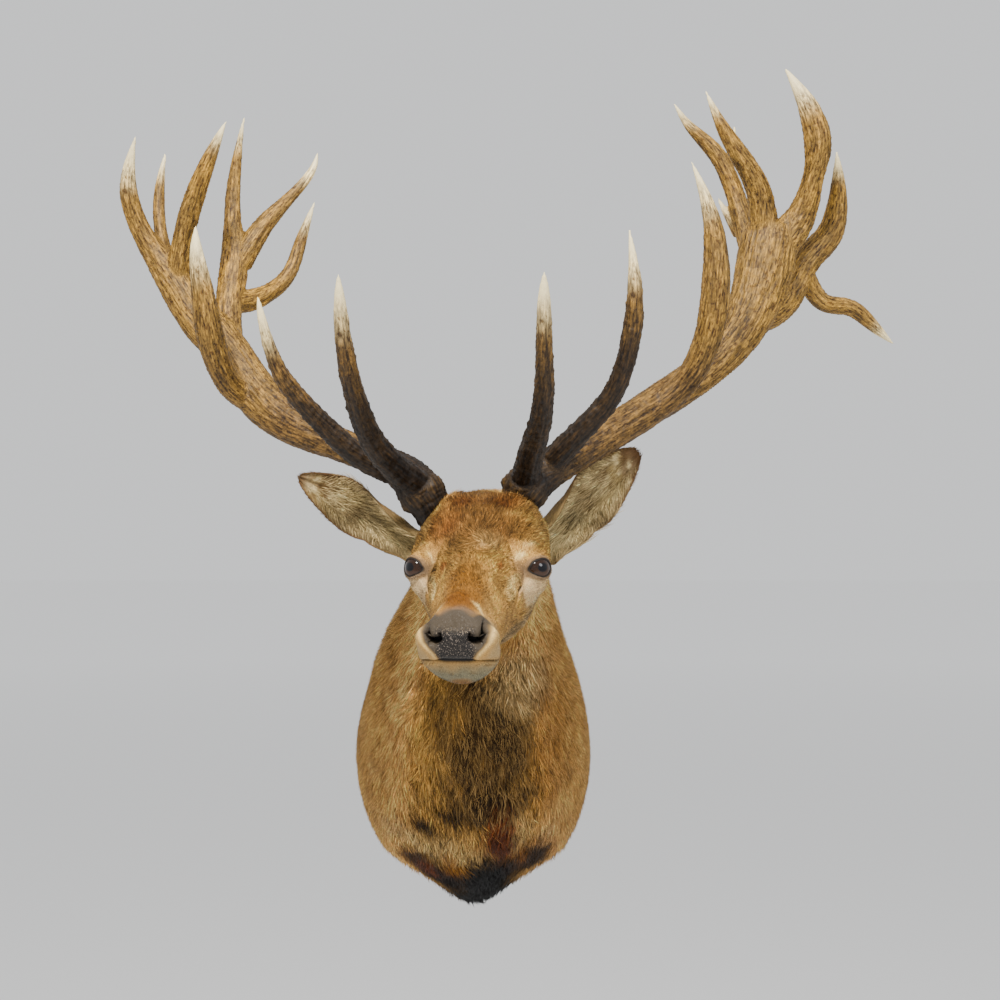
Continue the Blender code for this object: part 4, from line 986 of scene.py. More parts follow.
# the coat is closed three-sided tufts rooted in the skin
coat = {
    # length and half width in millimetres: section, at the top, at the side, at the bottom
    "lengths": ((-1, 3.4, 3.4, 3.8), (2, 4.4, 4.6, 5.5), (5, 6.5, 6, 8), (8, 10, 7, 11), (10, 12, 8.5, 17),
                (12, 17, 15, 28), (14, 20, 20, 40), (17, 23, 22, 44), (19, 21, 20, 34), (20, 18, 18, 24)),
    "halfWidths": ((-1, 0.48, 0.48, 0.5), (2, 0.5, 0.52, 0.56), (5, 0.52, 0.5, 0.55), (8, 0.62, 0.56, 0.65),
                   (10, 0.64, 0.62, 0.75), (12, 0.7, 0.7, 0.85), (14, 0.74, 0.74, 1), (17, 0.8, 0.8, 1.05),
                   (20, 0.8, 0.8, 1.05)),
    # how far the lie turns from front-to-back to downwards, in the same columns
    "downShare": ((-1, 0, 0, 0), (5, 0, 0.15, 0), (8, 0, 0.3, 0.1), (11, 0, 0.35, 0.3), (13, 0.05, 0.45, 0.6),
                  (17, 0.05, 0.42, 0.6), (20, 0.3, 0.55, 0.6)),
    "whorl": (0.011, 0.034, 0.046),
    "whorlReach": 0.030,
    "hornRoots": ((0.052, -0.450, 0.335), (-0.036, -0.444, 0.331)),
    "hornReach": 0.048,
    "eyeReach": (0.046, 0.030),     # where hair begins to part round an eye, and where it is parted
    "lengthSpread": (0.75, 0.5),    # least share, and the random rest
    "widthSpread": (0.7, 0.6),
    "lieSpread": 0.16,
    "riseSpread": (0.45, 0.6),
    "riseLimits": (0.08, 0.85),     # sine of the angle at which a tuft leaves the skin
    "pull": (0.34, 75, 81),         # how far tips draw together into locks: share of the length, noise, seed
    "bend": (0.18, 30, 82),         # sideways: share of the length, noise per metre, seed
    "bendSpread": 0.08,
    "sink": 0.0006,                 # roots start under the skin
    "ridge": 0.7,                   # height of a tuft's cross-section over its half width
    "wallStart": -0.009,            # hair near the wall bends along it
    "wallGap": 0.0085,
    # sections, side of the parting, stops along a tuft, number of tufts
    "pieces": (
        ("coatFace", (-1, 8.4), "all", (0,), 46000), ("coatBrow", (8.4, 12.4), "all", (0,), 46000),
        ("coatNeck", (12.4, 15.2), "sides", (0,), 46000), ("coatShoulder", (15.2, 17.4), "sides", (0,), 46000),
        ("coatFlank", (17.4, 20), "sides", (0,), 38000), ("coatMane", (12.4, 15.6), "front", (0, 0.45), 19000),
        ("coatChest", (15.6, 20), "front", (0, 0.45), 19000),
    ),
    "streaks": {"all": 1.35, "sides": 1, "front": 1.6},
    "ownSpread": 0.55,              # how far one tuft's shade strays from the next
    "lightest": 2.1,
    "streakNoise": (0.26, 0.22, 0.36),      # broad, fine, and along the hair
    "darkestStreak": 0.2,
    "warmth": 0.06,
    "paleShare": (0.62, 0.72),      # in the mane, draws between which a tuft turns pale
    # painted shade at the roots of the tufts, where the coat shades itself
    "rootPaintedShade": 0.45,
    "tipShade": 1.40,
}


def lieField():
    # nose to tail, turned downwards on the sides, swirled at the whorl, parted round eyes and antlers
    rings, normals = skin["rings"], skin["normals"]
    along = unit(flattened(np.gradient(rings, axis=0), normals))
    share = tableField(coat["downShare"], skin["places"], skin["angle"], 1)[..., None]
    lie = unit(along * (1 - share) + unit(flattened(-upwards, normals)) * share)
    away = rings - fromHead(coat["whorl"])
    near = np.exp(-(np.linalg.norm(away, axis=-1, keepdims=True) / coat["whorlReach"]) ** 2)
    spiral = unit(unit(flattened(away, normals)) + 0.8 * np.cross(normals, unit(away)))
    lie = unit(lie * (1 - near) + spiral * near)
    for root in coat["hornRoots"]:
        away, reach = rings - np.array(root), coat["hornReach"]
        near = 0.7 * ease(reach, 0.5 * reach, np.linalg.norm(away, axis=-1))[..., None]
        lie = unit(lie * (1 - near) + unit(flattened(upwards + 0.4 * unit(away), normals)) * near)
    for side in (-1, 1):
        towards = fromHead(eyeFrame(side)[0]) - rings
        inward = unit(flattened(towards, normals))
        into = np.clip((lie * inward).sum(axis=-1, keepdims=True), 0, 1)
        close = ease(*coat["eyeReach"], np.linalg.norm(towards, axis=-1, keepdims=True))
        lie = unit(lie - inward * into * 1.3 * close)
    steady = (1 - 0.45 * ease(11, 13, skin["places"]))[:, None]
    turn = steady * (0.45 * noise(rings * 38, 61, 2) + 0.20 * noise(rings * 120, 62))
    return unit(lie + np.cross(normals, lie) * turn[..., None])


def scatterRoots(points, weight, count, seed):
    # spread evenly along the running sum of area times weight: row, column and a place in the face
    across, along = np.roll(points, -1, axis=1) - points, points[1:] - points[:-1]
    total = np.cumsum((np.linalg.norm(np.cross(across[:-1], along), axis=-1) * weight[:-1]).ravel())
    random = np.random.default_rng(seed)
    target = (np.arange(count) + random.random(count)) / count * total[-1]
    row, column = np.divmod(np.searchsorted(total, target), points.shape[1])
    return row, column, random.random(count), random.random(count)


def readGrid(field, roots):
    # mixed from the four corners of each root's face
    row, column, s, t = roots
    beside = (column + 1) % field.shape[1]
    if field.ndim == 3:
        s, t = s[:, None], t[:, None]
    low = field[row, column] * (1 - s) + field[row, beside] * s
    high = field[row + 1, column] * (1 - s) + field[row + 1, beside] * s
    return low * (1 - t) + high * t


def noiseSlope(points, seed):
    # which way the noise rises at each point
    return np.stack([noise(points + s, seed) - noise(points - s, seed) for s in np.eye(3) * 0.25], axis=-1)


def buildTufts(name, tufts, stops, random, look):
    # middle line: root + lie L s cos + normal L sin (s - s^2 / 2) + side L bend s^2 + pull s^2
    count, levels, (share, rough, seed) = len(tufts["root"]), len(stops), tufts["bend"]
    least, rest = coat["widthSpread"]
    halfWidth = tufts["halfWidth"] * (least + rest * random.random(count))
    bend = share * noise(tufts["root"] * rough, seed) + coat["bendSpread"] * random.standard_normal(count)
    root, lie, normal, pull, uv = (tufts[key][:, None] for key in ("root", "lie", "normal", "pull", "uv"))
    side, s = unit(np.cross(lie, normal)), np.array(stops + (1,))[:, None]
    length, lift = tufts["length"][:, None, None], tufts["lift"][:, None, None]
    middle = root - normal * coat["sink"] + lie * length * s * np.cos(lift)
    middle = middle + normal * length * np.sin(lift) * (s - 0.5 * s * s)
    middle = middle + side * length * bend[:, None, None] * s * s + pull * s * s
    centre, width = middle[:, :levels], halfWidth[:, None, None] * ((1 - s) ** 0.5)[:levels]
    ring = (centre - side * width, centre + side * width, centre + normal * width * coat["ridge"])
    points = np.concatenate((np.stack(ring, axis=2).reshape(count, -1, 3), middle[:, levels:]), axis=1)
    start, gap = coat["wallStart"], coat["wallGap"]
    over = np.maximum(points[..., 1] - start, 0)
    points[..., 1] = np.where(over > 0, start + gap * (1 - np.exp(-over / gap)), points[..., 1])
    turns, faces, top = ((0, 1), (1, 2), (2, 0)), [(2, 1, 0)], 3 * levels
    for low in range(0, top - 3, 3):
        for a, b in turns:
            faces += [(low + 3 + b, low + 3 + a, low + a), (low + b, low + 3 + b, low + a)]
    faces = np.array(faces + [(top - 3 + b, top, top - 3 + a) for a, b in turns])
    every = (faces + (np.arange(count) * (top + 1))[:, None, None]).reshape(-1, 3)
    share = np.append(np.repeat(stops, 3), 1)
    rootColour, tipColour = tufts["colours"]
    colours = rootColour[:, None] + (tipColour - rootColour)[:, None] * share[:, None]
    across = np.append(np.tile((-0.5, 0.5, 0), levels), 0)
    places = uv + np.stack((across, share - 0.5), axis=-1) * unwrap["tuft"]
    mesh = newMesh(name, points, every)
    setLayers(mesh, coatColour=colours, OFBake=places.reshape(-1, 2)[every.ravel()])
    addPiece(name, mesh, look)
    print(name, count, "tufts,", len(every), "triangles")


def tuftColours(read, bold, random):
    # each lock darker at its root as painted shade within the coat, with its own shade; broad gentle streaks
    # run through the coat
    roots, count = read["root"], len(read["root"])
    own = np.minimum(np.exp(coat["ownSpread"] * random.standard_normal((count, 1)) - 0.05), coat["lightest"])
    broad, fine, along = coat["streakNoise"]
    streak = 1 + broad * bold * noise(roots * (55, 55, 22), 71, 2) + fine * noise(roots * 210, 72)
    streak = streak + along * bold * noise(read["flow"] * (26, 240, 240), 73)
    warm = 1 + coat["warmth"] * random.standard_normal((count, 1)) * np.array((1, 0.2, -1))
    base = read["colour"] * own * np.maximum(streak, coat["darkestStreak"])[:, None] * warm
    pale = np.clip(read["mane"], 0, 1) * ease(*coat["paleShare"], random.random(count))
    tip = mixed(base * coat["tipShade"], shades["maneTip"] * 1.15 * np.sqrt(own), 0.95 * pale)
    return mixed(base, "maneTip", 0.45 * pale) * coat["rootPaintedShade"], tip


def makeBodyCoat(look):
    # a tuft rises as steeply as the coat's depth over its length asks
    places, angle, rings, masks = skin["places"], skin["angle"], skin["rings"], skin["masks"]
    rows, columns = rings.shape[:2]
    length, halfWidth, depth = (tableField(table, places, angle)
                                for table in (coat["lengths"], coat["halfWidths"], skinGrid["coatDepth"]))
    fields = {"root": rings, "normal": skin["normals"], "lie": lieField(), "colour": skin["colour"],
              "length": length * (1 - 0.6 * (1 - ease(1.5, 3.4, skin["lidShare"]))), "halfWidth": halfWidth,
              "depth": depth, "mane": skin["mane"], "flow": flowVectors(rings, angle),
              "v": np.broadcast_to(skin["heights"][:rows, None], (rows, columns))}
    bare = np.maximum.reduce((masks["pad"], masks["nostril"], masks["mouth"], masks["tear"] * 0.7))
    free = (bare < 0.25) & (skin["lidShare"] > 1.22)
    front = ease(-0.62, -0.78, np.sin(angle))
    parts, (least, rest) = {"all": 1, "sides": 1 - front, "front": front}, coat["lengthSpread"]
    for number, (name, (low, high), part, stops, count) in enumerate(coat["pieces"]):
        random = np.random.default_rng(100 + number)
        weight = ((places >= low) & (places < high))[:, None] * free * parts[part]
        roots = scatterRoots(rings, weight, count, 200 + number)
        read = {key: readGrid(field, roots) for key, field in fields.items()}
        length, normal = read["length"] * (least + rest * random.random(count)), unit(read["normal"])
        flat, more = coat["riseSpread"]
        rise = np.clip(2 * read["depth"] / length * (flat + more * random.random(count)), *coat["riseLimits"])
        colours = tuftColours(read, coat["streaks"][part], random)
        lie = unit(flattened(read["lie"], normal))
        lie = unit(lie + np.cross(normal, lie) * (coat["lieSpread"] * random.standard_normal(count))[:, None])
        share, rough, seed = coat["pull"]
        pull = noiseSlope(read["root"] * rough, seed) * read["length"][:, None] * share
        u = (roots[1] + roots[2]) / columns * unwrap["bodyWidth"]
        tufts = {"root": read["root"], "normal": normal, "lie": lie, "length": length, "lift": np.arcsin(rise),
                 "halfWidth": read["halfWidth"], "bend": coat["bend"], "pull": flattened(pull, normal),
                 "colours": colours, "uv": np.stack((u, read["v"]), axis=-1)}
        buildTufts(name, tufts, stops, random, look)


# tufts on each ear: number, stops along one, length, how much shorter at the tip, half width, lift,
# share of earHair
earCoat = {
    "coatEar_": (12000, (0,), 0.0065, 0, 0.00045, 0.25, 0),
    "hairEar_": (4000, (0, 0.33, 0.68), 0.022, 0.5, 0.00050, 0.50, 0.45),
    "pull": (0.0012, 110, 84),
    "bend": (0.15, 60, 83),
    # painted shade at the roots of the ear's tufts
    "rootPaintedShade": 0.72,
    "tipShade": 1.2,
}


def makeEarCoat(word, seed, look):
    # short tufts from root to tip all over, long ones across the bowl
    surface = earSurfaces[word]
    rings, normals, share, inside = (surface[key] for key in ("rings", "normals", "share", "inside"))
    across = np.abs(surface["across"])
    along = unit(flattened(np.gradient(rings, axis=0), normals))
    towards = unit(flattened(surface["opens"], normals))
    inwards = unit(flattened(rings.mean(axis=1, keepdims=True) - rings, normals))
    edge, outward = ease(0.35, 0.9, across) * inside, ease(0.6, 1, across) * (1 - inside)
    fields = {"root": rings, "normal": normals, "colour": surface["colour"], "share": share,
              "lie": unit(along + 0.35 * towards * outward[..., None] + inwards * edge[..., None]),
              "v": np.broadcast_to(surface["heights"][:, None], share.shape)}
    long = inside * ease(0.85, 0.45, share) * (0.35 + 0.65 * ease(0.2, 0.8, across))
    pull, rough, slopeSeed = earCoat["pull"]
    for kind, weight in (("coatEar_", 0.25 + 0.75 * (share > 0.02)), ("hairEar_", long)):
        count, stops, length, shorter, halfWidth, lift, pale = earCoat[kind]
        random = np.random.default_rng(seed)
        roots = scatterRoots(rings, weight, count, seed + 1)
        read = {key: readGrid(field, roots) for key, field in fields.items()}
        length = length * (1 - shorter * read["share"]) * (0.7 + 0.6 * random.random(count))
        own, normal = np.exp(0.34 * random.standard_normal((count, 1))), unit(read["normal"])
        colour = mixed(read["colour"] * own, shades["earHair"] * own, pale)
        lift = np.clip(lift + 0.12 * random.standard_normal(count), 0.05, 0.8)
        u = unwrap["earLeft"] + unwrap["earWidth"] * (roots[1] + roots[2]) / rings.shape[1]
        tufts = {"root": read["root"], "normal": normal, "lie": unit(flattened(read["lie"], normal)),
                 "length": length, "lift": lift, "halfWidth": halfWidth, "bend": earCoat["bend"],
                 "pull": noiseSlope(read["root"] * rough, slopeSeed) * pull,
                 "colours": (colour * earCoat["rootPaintedShade"], colour * earCoat["tipShade"]),
                 "uv": np.stack((u, read["v"]), axis=-1)}
        buildTufts(kind + word, tufts, stops, random, look)


hair = coatLook()
makeBodyCoat(hair)
makeEarCoat("left", 301, hair)
makeEarCoat("right", 311, hair)


antlers = {
    # each branch: parent, flatness, then points with radius in millimetres from its root to its tip
    "right": {
        "beam": (None, 0.8, (
            (50, -448, 326, 24), (66, -456, 352, 25), (80, -452, 374, 27.5), (113, -426, 396, 23.6),
            (185, -368, 438, 22.2), (272, -305, 494, 24), (335, -262, 541, 25), (381, -236, 606, 33),
            (405, -222, 688, 40), (413, -221, 728, 30))),
        "brow": ("beam", 0.95, (
            (70, -462, 372, 17), (78, -510, 408, 15.2), (90, -568, 457, 12.8), (91, -625, 521, 10),
            (90, -656, 577, 7.6), (90, -670, 608, 1.2))),
        "bez": ("beam", 0.95, (
            (96, -440, 388, 16.5), (130, -470, 425, 14.2), (166, -490, 463, 13.2), (189, -514, 508, 12),
            (201, -543, 585, 10.3), (194, -550, 673, 1.2))),
        "trez": ("beam", 0.9, (
            (240, -330, 466, 17), (281, -338, 503, 17), (306, -360, 553, 17.8), (316, -382, 620, 18.4),
            (310, -394, 704, 11.8), (283, -400, 780, 1.3))),
        "crown_front": ("beam", 0.85, (
            (400, -225, 700, 22), (394, -240, 752, 18), (375, -262, 792, 15), (342, -284, 836, 10.5),
            (312, -295, 893, 1.3))),
        "crown_rear": ("beam", 0.85, (
            (397, -214, 652, 19.5), (388, -168, 703, 16), (372, -141, 776, 13.5), (344, -140, 837, 12.2),
            (308, -148, 872, 7.6), (283, -155, 906, 1.3))),
        "snag_low": ("crown_rear", 1, ((376, -148, 722, 9), (359, -135, 755, 5.6), (348, -125, 778, 1.4))),
        "snag_high": ("crown_rear", 1, ((360, -140, 814, 9), (370, -120, 856, 5), (374, -108, 883, 1.4))),
        "crown_top": ("beam", 0.8, (
            (418, -222, 694, 28), (450, -229, 738, 20), (463, -247, 785, 14.6), (467, -262, 827, 18.2),
            (452, -272, 876, 14), (419, -280, 927, 1.3))),
        "crown_back": ("beam", 0.85, (
            (392, -226, 600, 23), (432, -200, 627, 22), (465, -180, 682, 19.5), (499, -175, 722, 18),
            (507, -190, 782, 11), (502, -205, 829, 1.4))),
        "crown_drop": ("crown_back", 0.9, (
            (461, -183, 664, 14), (490, -165, 626, 12.6), (530, -142, 621, 12), (565, -127, 599, 9.5),
            (600, -110, 572, 1.5))),
    },
    "left": {
        "beam": (None, 0.8, (
            (-34, -442, 322, 24), (-48, -452, 346, 25), (-64, -447, 368, 26.5), (-96, -412, 393, 21.5),
            (-168, -360, 422, 21), (-227, -320, 447, 26), (-276, -284, 482, 30), (-310, -258, 524, 30),
            (-341, -240, 568, 30), (-356, -235, 594, 22))),
        "brow": ("beam", 0.95, (
            (-62, -462, 370, 17.5), (-98, -507, 400, 16.2), (-124, -560, 448, 13.7), (-138, -620, 517, 10.5),
            (-142, -652, 574, 7.2), (-143, -665, 606, 1.2))),
        "bez": ("beam", 0.95, (
            (-92, -420, 384, 15.5), (-140, -448, 408, 14), (-196, -485, 463, 12.2), (-230, -515, 512, 9.2),
            (-246, -532, 568, 5.4), (-250, -537, 595, 1.2))),
        "trez": ("beam", 0.9, (
            (-290, -278, 480, 16), (-319, -308, 505, 16), (-335, -348, 560, 17.8), (-342, -366, 612, 15),
            (-349, -376, 664, 9.5), (-350, -378, 702, 1.3))),
        "crown_outer": ("beam", 0.75, (
            (-330, -246, 552, 25), (-371, -231, 595, 25), (-410, -221, 657, 22.5), (-444, -222, 707, 14.5),
            (-463, -242, 770, 12), (-448, -268, 838, 1.3))),
        "crown_spike": ("crown_outer", 0.95, (
            (-412, -219, 672, 11.5), (-426, -204, 718, 8.8), (-431, -186, 776, 7.6), (-424, -178, 833, 1.3))),
        "crown_front": ("crown_outer", 0.9, (
            (-400, -222, 652, 17), (-388, -242, 705, 14.6), (-370, -270, 752, 13.8), (-345, -290, 806, 9.6),
            (-322, -300, 852, 1.3))),
        "crown_stem": ("beam", 0.75, (
            (-322, -248, 545, 21), (-331, -220, 604, 18), (-327, -194, 672, 19.4), (-330, -183, 730, 12.8),
            (-328, -180, 798, 9), (-313, -190, 881, 1.4))),
        "crown_inner": ("crown_stem", 0.9, (
            (-320, -190, 676, 17), (-291, -180, 726, 14), (-256, -160, 770, 8.8), (-226, -149, 808, 6.2),
            (-216, -145, 839, 1.4))),
        "crown_side": ("crown_stem", 0.9, (
            (-328, -208, 624, 17.5), (-300, -185, 628, 14.8), (-260, -158, 659, 10.8), (-240, -147, 712, 8.6),
            (-220, -145, 769, 1.4))),
    },
    "joined": ("snag_low", "snag_high"),        # small points that the solids keep in their parent
    "ringsPerKey": 8,
    "sides": 24,
    "leastRadius": 0.0010,
    "searchReach": 0.08,            # a branch is looked for this far past its own points
    "voxel": 0.0023,
    "softening": 5,
    "burrPlace": 0.044,             # distance of the burr from the root of the beam
    "burrWidth": 0.0075,
    "burrHeight": 0.0060,
    "groove": 0.0010,
    "pearl": 0.0016,
    "grit": 0.0004,
    "tipIvory": 0.052,              # length of the polished points
    "longTips": ("brow", "bez", "trez", "crown_outer", "crown_top"),
    "shortTip": 0.65,               # other points' share of that length
    "darkTines": ("brow", "bez"),
    "darkFrom": (0.070, 0.165),     # distance from the point where the dark begins and is full
    # relief: where two branches meet, towards the points, pearls towards the burr, on thin branches
    "settling": 0.006,
    "smoothPoint": (0.015, 0.110),
    "pearled": (0.38, 0.05),
    "fullRadius": 0.018,
    "slimmest": 0.35,
    "stoutest": 1.2,
    # shades from the burr outwards: distances between which each comes in, and how far noise moves them
    "boneSteps": (("boneBrown", (0.05, 0.20), 0.05), ("boneTan", (0.24, 0.55), 0.08)),
    "gold": (0.6, (0.1, 0.8), (0.35, 0.6)),         # strength, bounds in the noise, distances
    "darkStrength": 0.88,
    "grooveShade": (0.50, 0.80),    # in the grooves, and what is added on the ridges
    "ivoryFrom": (1.7, 0.35),       # shares of the polished length
    "polishFrom": (1.2, 0.3),
    "burrBrown": 0.3,
}


def branchPath(keys):
    # the smooth middle line with radius, and the two cross directions of its oval
    count = (len(keys) - 1) * antlers["ringsPerKey"] + 1
    path = cubicSpline(metres(keys), np.linspace(0, len(keys) - 1, count))
    path[:, 3] = np.maximum(path[:, 3], antlers["leastRadius"])
    tangent = unit(np.gradient(path[:, :3], axis=0))
    broad = unit(np.cross(tangent, (0, 1, 0)))
    return path, broad, np.cross(tangent, broad)


def branchTube(flatness, keys):
    # ovals along the path: point + radius * (cos * broad + flatness * sin * deep), closed by fans
    path, broad, deep = branchPath(keys)
    sides = antlers["sides"]
    turn = np.linspace(0, fullTurn, sides, endpoint=False)[:, None]
    oval = np.cos(turn) * broad[:, None] + flatness * np.sin(turn) * deep[:, None]
    rings = path[:, None, :3] + path[:, None, 3:] * oval
    root = len(rings) * sides
    faces = (gridFaces(len(rings), sides), poleFaces(root, 0, sides, True),
             poleFaces(root + 1, root - sides, sides))
    return np.concatenate((rings.reshape(-1, 3), path[[0, -1], :3])), np.concatenate(faces)


def fusedMesh(name, branches):
    # all tubes in one mesh, melted together by a voxel remesh and softened at the forks
    points, faces, first = [], [], 0
    for _, flatness, keys in branches.values():
        tubePoints, tubeFaces = branchTube(flatness, keys)
        points.append(tubePoints)
        faces.append(tubeFaces + first)
        first += len(tubePoints)
    rough = link(bpy.data.objects.new("rough", newMesh("rough", np.concatenate(points), np.concatenate(faces))))
    melt = rough.modifiers.new("melt", "REMESH")
    melt.mode = "VOXEL"
    melt.voxel_size = antlers["voxel"]
    soften = rough.modifiers.new("soften", "SMOOTH")
    soften.factor = 0.5
    soften.iterations = antlers["softening"]
    bpy.context.view_layer.update()
    mesh = bpy.data.meshes.new_from_object(rough.evaluated_get(bpy.context.evaluated_depsgraph_get()))
    mesh.name = name
    bpy.data.objects.remove(rough, do_unlink=True)
    return mesh


def nearestBranch(points, branches):
    # for each point the closest branch: gap, offset in its own cross frame, place along it, tip distance
    best = {key: np.full(len(points), 9.0) for key in
            ("gap", "second", "along", "toTip", "fromBase", "broad", "deep", "radius", "dark", "ivory")}
    lines = {}
    for name, (parent, _, keys) in branches.items():
        path, broad, deep = branchPath(keys)
        line, run, start = path[:, :3], rowLengths(path[:, None, :3]), 0
        if parent:
            parentLine, parentRun = lines[parent]
            start = parentRun[np.linalg.norm(parentLine - line[0], axis=1).argmin()]
        lines[name] = (line, start + run)
        centre = line.mean(axis=0)
        reach = np.linalg.norm(line - centre, axis=1).max() + antlers["searchReach"]
        near = np.flatnonzero(np.linalg.norm(points - centre, axis=1) < reach)
        span, away = np.diff(line, axis=0), points[near][:, None] - line[:-1]
        t = np.clip((away * span).sum(axis=-1) / (span * span).sum(axis=-1), 0, 1)
        offset = away - t[..., None] * span
        radius = path[:-1, 3] * (1 - t) + path[1:, 3] * t
        gap = np.linalg.norm(offset, axis=-1) - radius
        pick, row = gap.argmin(axis=1), np.arange(len(near))
        gap, offset, t, radius = gap[row, pick], offset[row, pick], t[row, pick], radius[row, pick]
        wins = gap < best["gap"][near]
        best["second"][near] = np.where(wins, best["gap"][near], np.minimum(best["second"][near], gap))
        chosen, at = near[wins], pick[wins]
        along = run[at] + t[wins] * (run[at + 1] - run[at])
        tip = np.linalg.norm(points[chosen] - line[-1], axis=1)
        for key, value in (
                ("gap", gap[wins]), ("along", along), ("fromBase", start + along), ("radius", radius[wins]),
                ("broad", (offset[wins] * broad[at]).sum(axis=-1)),
                ("deep", (offset[wins] * deep[at]).sum(axis=-1)),
                ("toTip", tip if parent else 1), ("dark", name in antlers["darkTines"]),
                ("ivory", antlers["tipIvory"] * (1 if name in antlers["longTips"] else antlers["shortTip"]))):
            best[key][chosen] = value
    return best


def antlerRelief(points, near):
    # grooves run along the branch, pearls crowd towards the burr, the points are polished
    grain = np.stack((near["broad"], near["deep"], near["along"]), axis=-1)
    groove = 1 - 2 * np.abs(noise(grain * (330, 330, 17), 31, 3))
    pearl = np.clip(noise(points * 190, 41), 0, 1) ** 0.7 + 0.5 * np.clip(noise(points * 330, 42), 0, 1)
    settled = ease(0, antlers["settling"], near["second"] - near["gap"])
    rough = ease(*antlers["smoothPoint"], near["toTip"])
    nearBase = np.maximum(ease(*antlers["pearled"], near["fromBase"]), 0.9 * near["dark"])
    slim = np.clip(near["radius"] / antlers["fullRadius"], antlers["slimmest"], antlers["stoutest"])
    height = antlers["groove"] * groove * rough * settled * slim + antlers["pearl"] * pearl * nearBase * rough
    height += antlers["grit"] * noise(points * 420, 43, 2) * rough
    burr = np.exp(-((near["fromBase"] - antlers["burrPlace"]) / antlers["burrWidth"]) ** 2)
    turn = np.arctan2(near["deep"], near["broad"])
    knobs = 0.65 + 0.35 * noise(np.stack((np.cos(turn) * 3, np.sin(turn) * 3, 0 * turn), axis=-1), 44)
    return grain, height + antlers["burrHeight"] * burr * knobs, np.clip(0.5 + 0.5 * groove, 0, 1), burr


def antlerColours(points, near, groove, burr):
    # almost black at the burr, brown, then speckled tan in the crown and ivory points
    cloud, fromBase = noise(points * 14, 51, 3), near["fromBase"]
    colour = shades["boneDark"]
    for shade, bounds, waver in antlers["boneSteps"]:
        colour = mixed(colour, shade, ease(*bounds, fromBase + waver * cloud))
    strength, clouds, places = antlers["gold"]
    colour = mixed(colour, "boneGold", strength * ease(*clouds, cloud) * ease(*places, fromBase))
    dark = near["dark"] * ease(*antlers["darkFrom"], near["toTip"] + 0.03 * cloud)
    low, rise = antlers["grooveShade"]
    colour = mixed(colour, "boneDark", antlers["darkStrength"] * dark) * (low + rise * groove[:, None])
    start, full = antlers["ivoryFrom"]
    ivory = ease(near["ivory"] * start, near["ivory"] * full, near["toTip"] + 0.008 * cloud)
    return mixed(mixed(colour, "ivory", ivory), "boneBrown", antlers["burrBrown"] * burr)


def antlerLook():
    # fine grooves along the grain and dark specks between them; the points are smoother
    look = newLook("antlerBone", 0.5, Specular_IOR_Level=0.28)
    colour, polish = stored(look, "coatColour", "Color"), stored(look, "polish")
    grain = stored(look, "grain", "Vector")
    fine = threads(look, grain, (900, 900, 60), 5, 0.6)
    speck = threads(look, grain, (420, 420, 160), 3)
    streak = threads(look, grain, (400, 400, 52), 4, 0.55)
    shade = ramp(look, fine, (0.32, 0.52, 0.46, 0.40), (0.5, 1, 1, 1), (0.72, 1.25, 1.22, 1.15))
    bands = ramp(look, streak, (0.36, 0.36, 0.31, 0.26), (0.50, 0.90, 0.88, 0.84), (0.64, 1.62, 1.54, 1.38))
    dots = ramp(look, speck, (0.36, 0.36, 0.29, 0.22), (0.45, 1, 1, 1), (0.58, 1, 1, 1),
                (0.66, 1.55, 1.48, 1.32))
    worn = times(look, times(look, colour, times(look, shade, bands)), dots)
    gloss = node(look, "MapRange", "Result", polish, 0, 1, 0.55, 0.30)
    return finish(look, blended(look, polish, worn, colour), gloss, (fine, 0.7, 0.0007))


def makeAntler(word, look):
    # the fused mesh pushed out along its normals by the relief
    mesh = fusedMesh("antler_" + word, antlers[word])
    points, normals = np.empty((2, len(mesh.vertices) * 3), np.float32)
    mesh.vertices.foreach_get("co", points)
    mesh.vertices.foreach_get("normal", normals)
    points, normals = points.reshape(-1, 3).astype(float), normals.reshape(-1, 3).astype(float)
    near = nearestBranch(points, antlers[word])
    grain, height, groove, burr = antlerRelief(points, near)
    mesh.vertices.foreach_set("co", (points + normals * height[:, None]).astype(np.float32).ravel())
    mesh.materials.clear()
    mesh.shade_smooth()
    mesh.update()
    start, full = antlers["polishFrom"]
    polish = ease(near["ivory"] * start, near["ivory"] * full, near["toTip"])
    setLayers(mesh, coatColour=antlerColours(points, near, groove, burr), polish=polish, grain=grain)
    replaced = ["antler_" + word + "_" + name for name in antlers[word] if name not in antlers["joined"]]
    addPiece("antlerBone_" + word, mesh, look, replaced)
    print("antler", word, len(mesh.polygons), "faces")


bone = antlerLook()
makeAntler("left", bone)
makeAntler("right", bone)


# board and hanger are solids that stay, with their own finish
board = {
    "ply": 0.0027,                  # thickness of one layer
    "grain": (60, 200, 5),
    "pale": (0.48, 0.33, 0.19),
    "dark": (0.27, 0.16, 0.08),
}


def plywoodLook():
    # layers light and dark through the thickness, long grain and small stains over the faces
    look = newLook("birchPly", 0.72, Specular_IOR_Level=0.3)
    place = objectPlace(look)
    layer = node(look, "Math", 0, node(look, "SeparateXYZ", "Y", place), board["ply"], operation="PINGPONG")
    share = node(look, "MapRange", "Result", layer, 0, board["ply"])
    layered = ramp(look, share, (0.42, *board["pale"]), (0.58, *board["dark"]))
    grain = threads(look, place, board["grain"], 6)
    grain.node.inputs["Distortion"].default_value = 0.8
    stain = node(look, "TexNoise", "Fac", place, Scale=9, Detail=4)
    lines = ramp(look, grain, (0.35, 0.70, 0.64, 0.56), (0.60, 1.1, 1.1, 1.1))
    cloud = ramp(look, stain, (0.30, 0.78, 0.74, 0.68), (0.62, 1, 1, 1))
    return finish(look, times(look, layered, lines, cloud), None, (grain, 0.4, 0.0004))


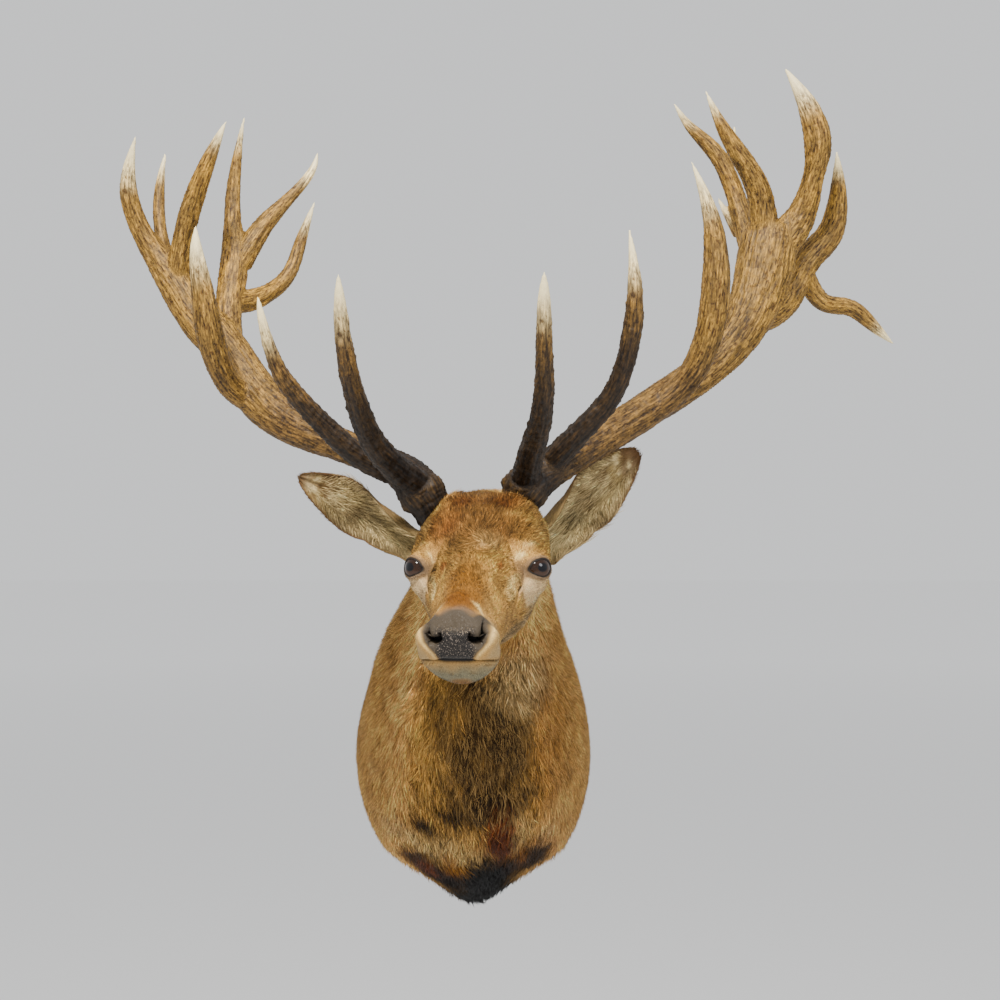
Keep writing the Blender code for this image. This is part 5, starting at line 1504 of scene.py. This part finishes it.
def steelLook():
    # rolled zinc plate: fine streaks along its length and dull blotches
    look = newLook("zincPlate", 0.38, Metallic=1)
    streak = threads(look, objectPlace(look), (120, 900, 2200), 4)
    dull = node(look, "TexNoise", "Fac", objectPlace(look), Scale=140, Detail=3)
    colour = ramp(look, dull, (0.30, 0.30, 0.31, 0.31), (0.65, 0.56, 0.57, 0.58))
    gloss = node(look, "MapRange", "Result", dull, 0.3, 0.7, 0.55, 0.28)
    return finish(look, colour, gloss, (streak, 0.3, 0.0002))


for word, look in (("backboard", plywoodLook()), ("hanger_plate", steelLook())):
    for slot in bpy.data.objects[word].material_slots:
        slot.material = look
print("board and hanger finished")


stage = {
    "cameraPlace": (0.04, -2.80, 0.35),
    "lens": 68.04,
    "sensor": 36,
    "floorLevel": -1.05,
    "floorReach": 30,
    "airColour": (0.86, 0.87, 0.88, 1),
    "airStrength": 1.02,
    # place, aim, size, power, colour
    "lights": {
        "keyLight": ((-0.70, -2.5, 2.90), (0, -0.4, 0.2), 0.8, 220, (1, 0.97, 0.92)),
        "fillLight": ((1.6, -2.4, 1.9), (0, -0.4, 0.1), 1.4, 55, (0.95, 0.97, 1)),
    },
}


def makeCamera():
    # level, looking straight at the wall
    data = bpy.data.cameras.new("camera")
    data.lens, data.sensor_width = stage["lens"], stage["sensor"]
    camera = link(bpy.data.objects.new("camera", data))
    camera.location, camera.rotation_euler = stage["cameraPlace"], (math.radians(90), 0, 0)
    bpy.context.scene.camera = camera


def makeLight(name, place, aim, size, power, colour):
    # a round soft lamp turned towards its aim
    data = bpy.data.lights.new(name, "AREA")
    data.shape, data.size, data.energy, data.color = "DISK", size, power, colour
    x, y, z = np.array(aim) - np.array(place)
    lamp = link(bpy.data.objects.new(name, data))
    lamp.location = place
    lamp.rotation_euler = (math.atan2(math.hypot(x, y), -z), 0, math.atan2(y, x) - math.pi / 2)


def makeFloor():
    # pale sheet far below the mount, painted paler with distance as painted light, making up for the lamps'
    # light that the far floor lacks, so it meets the air without a line
    reach, level = stage["floorReach"], stage["floorLevel"]
    corners = [(x * reach, y * reach, level) for x, y in ((-1, -1), (1, -1), (1, 1), (-1, 1))]
    mesh, look = newMesh("floor", corners, [(0, 1, 2, 3)]), newLook("paleFloor", 0.9)
    away = node(look, "VectorMath", "Value", objectPlace(look), operation="LENGTH")
    # painted light: the floor's colour grows paler from 1.5 m out to 14 m
    far = node(look, "MapRange", "Result", away, 1.5, 14)
    mesh.materials.append(finish(look, ramp(look, far, (0, 0.70, 0.70, 0.70), (1, 0.96, 0.96, 0.96))))
    link(bpy.data.objects.new("floor", mesh))


def makeAir():
    # even pale light from all round
    world = bpy.data.worlds.new("air")
    world.use_nodes = True
    background = world.node_tree.nodes["Background"]
    background.inputs["Color"].default_value = stage["airColour"]
    background.inputs["Strength"].default_value = stage["airStrength"]
    bpy.context.scene.world = world


makeCamera()
for name, values in stage["lights"].items():
    makeLight(name, *values)
makeFloor()
makeAir()
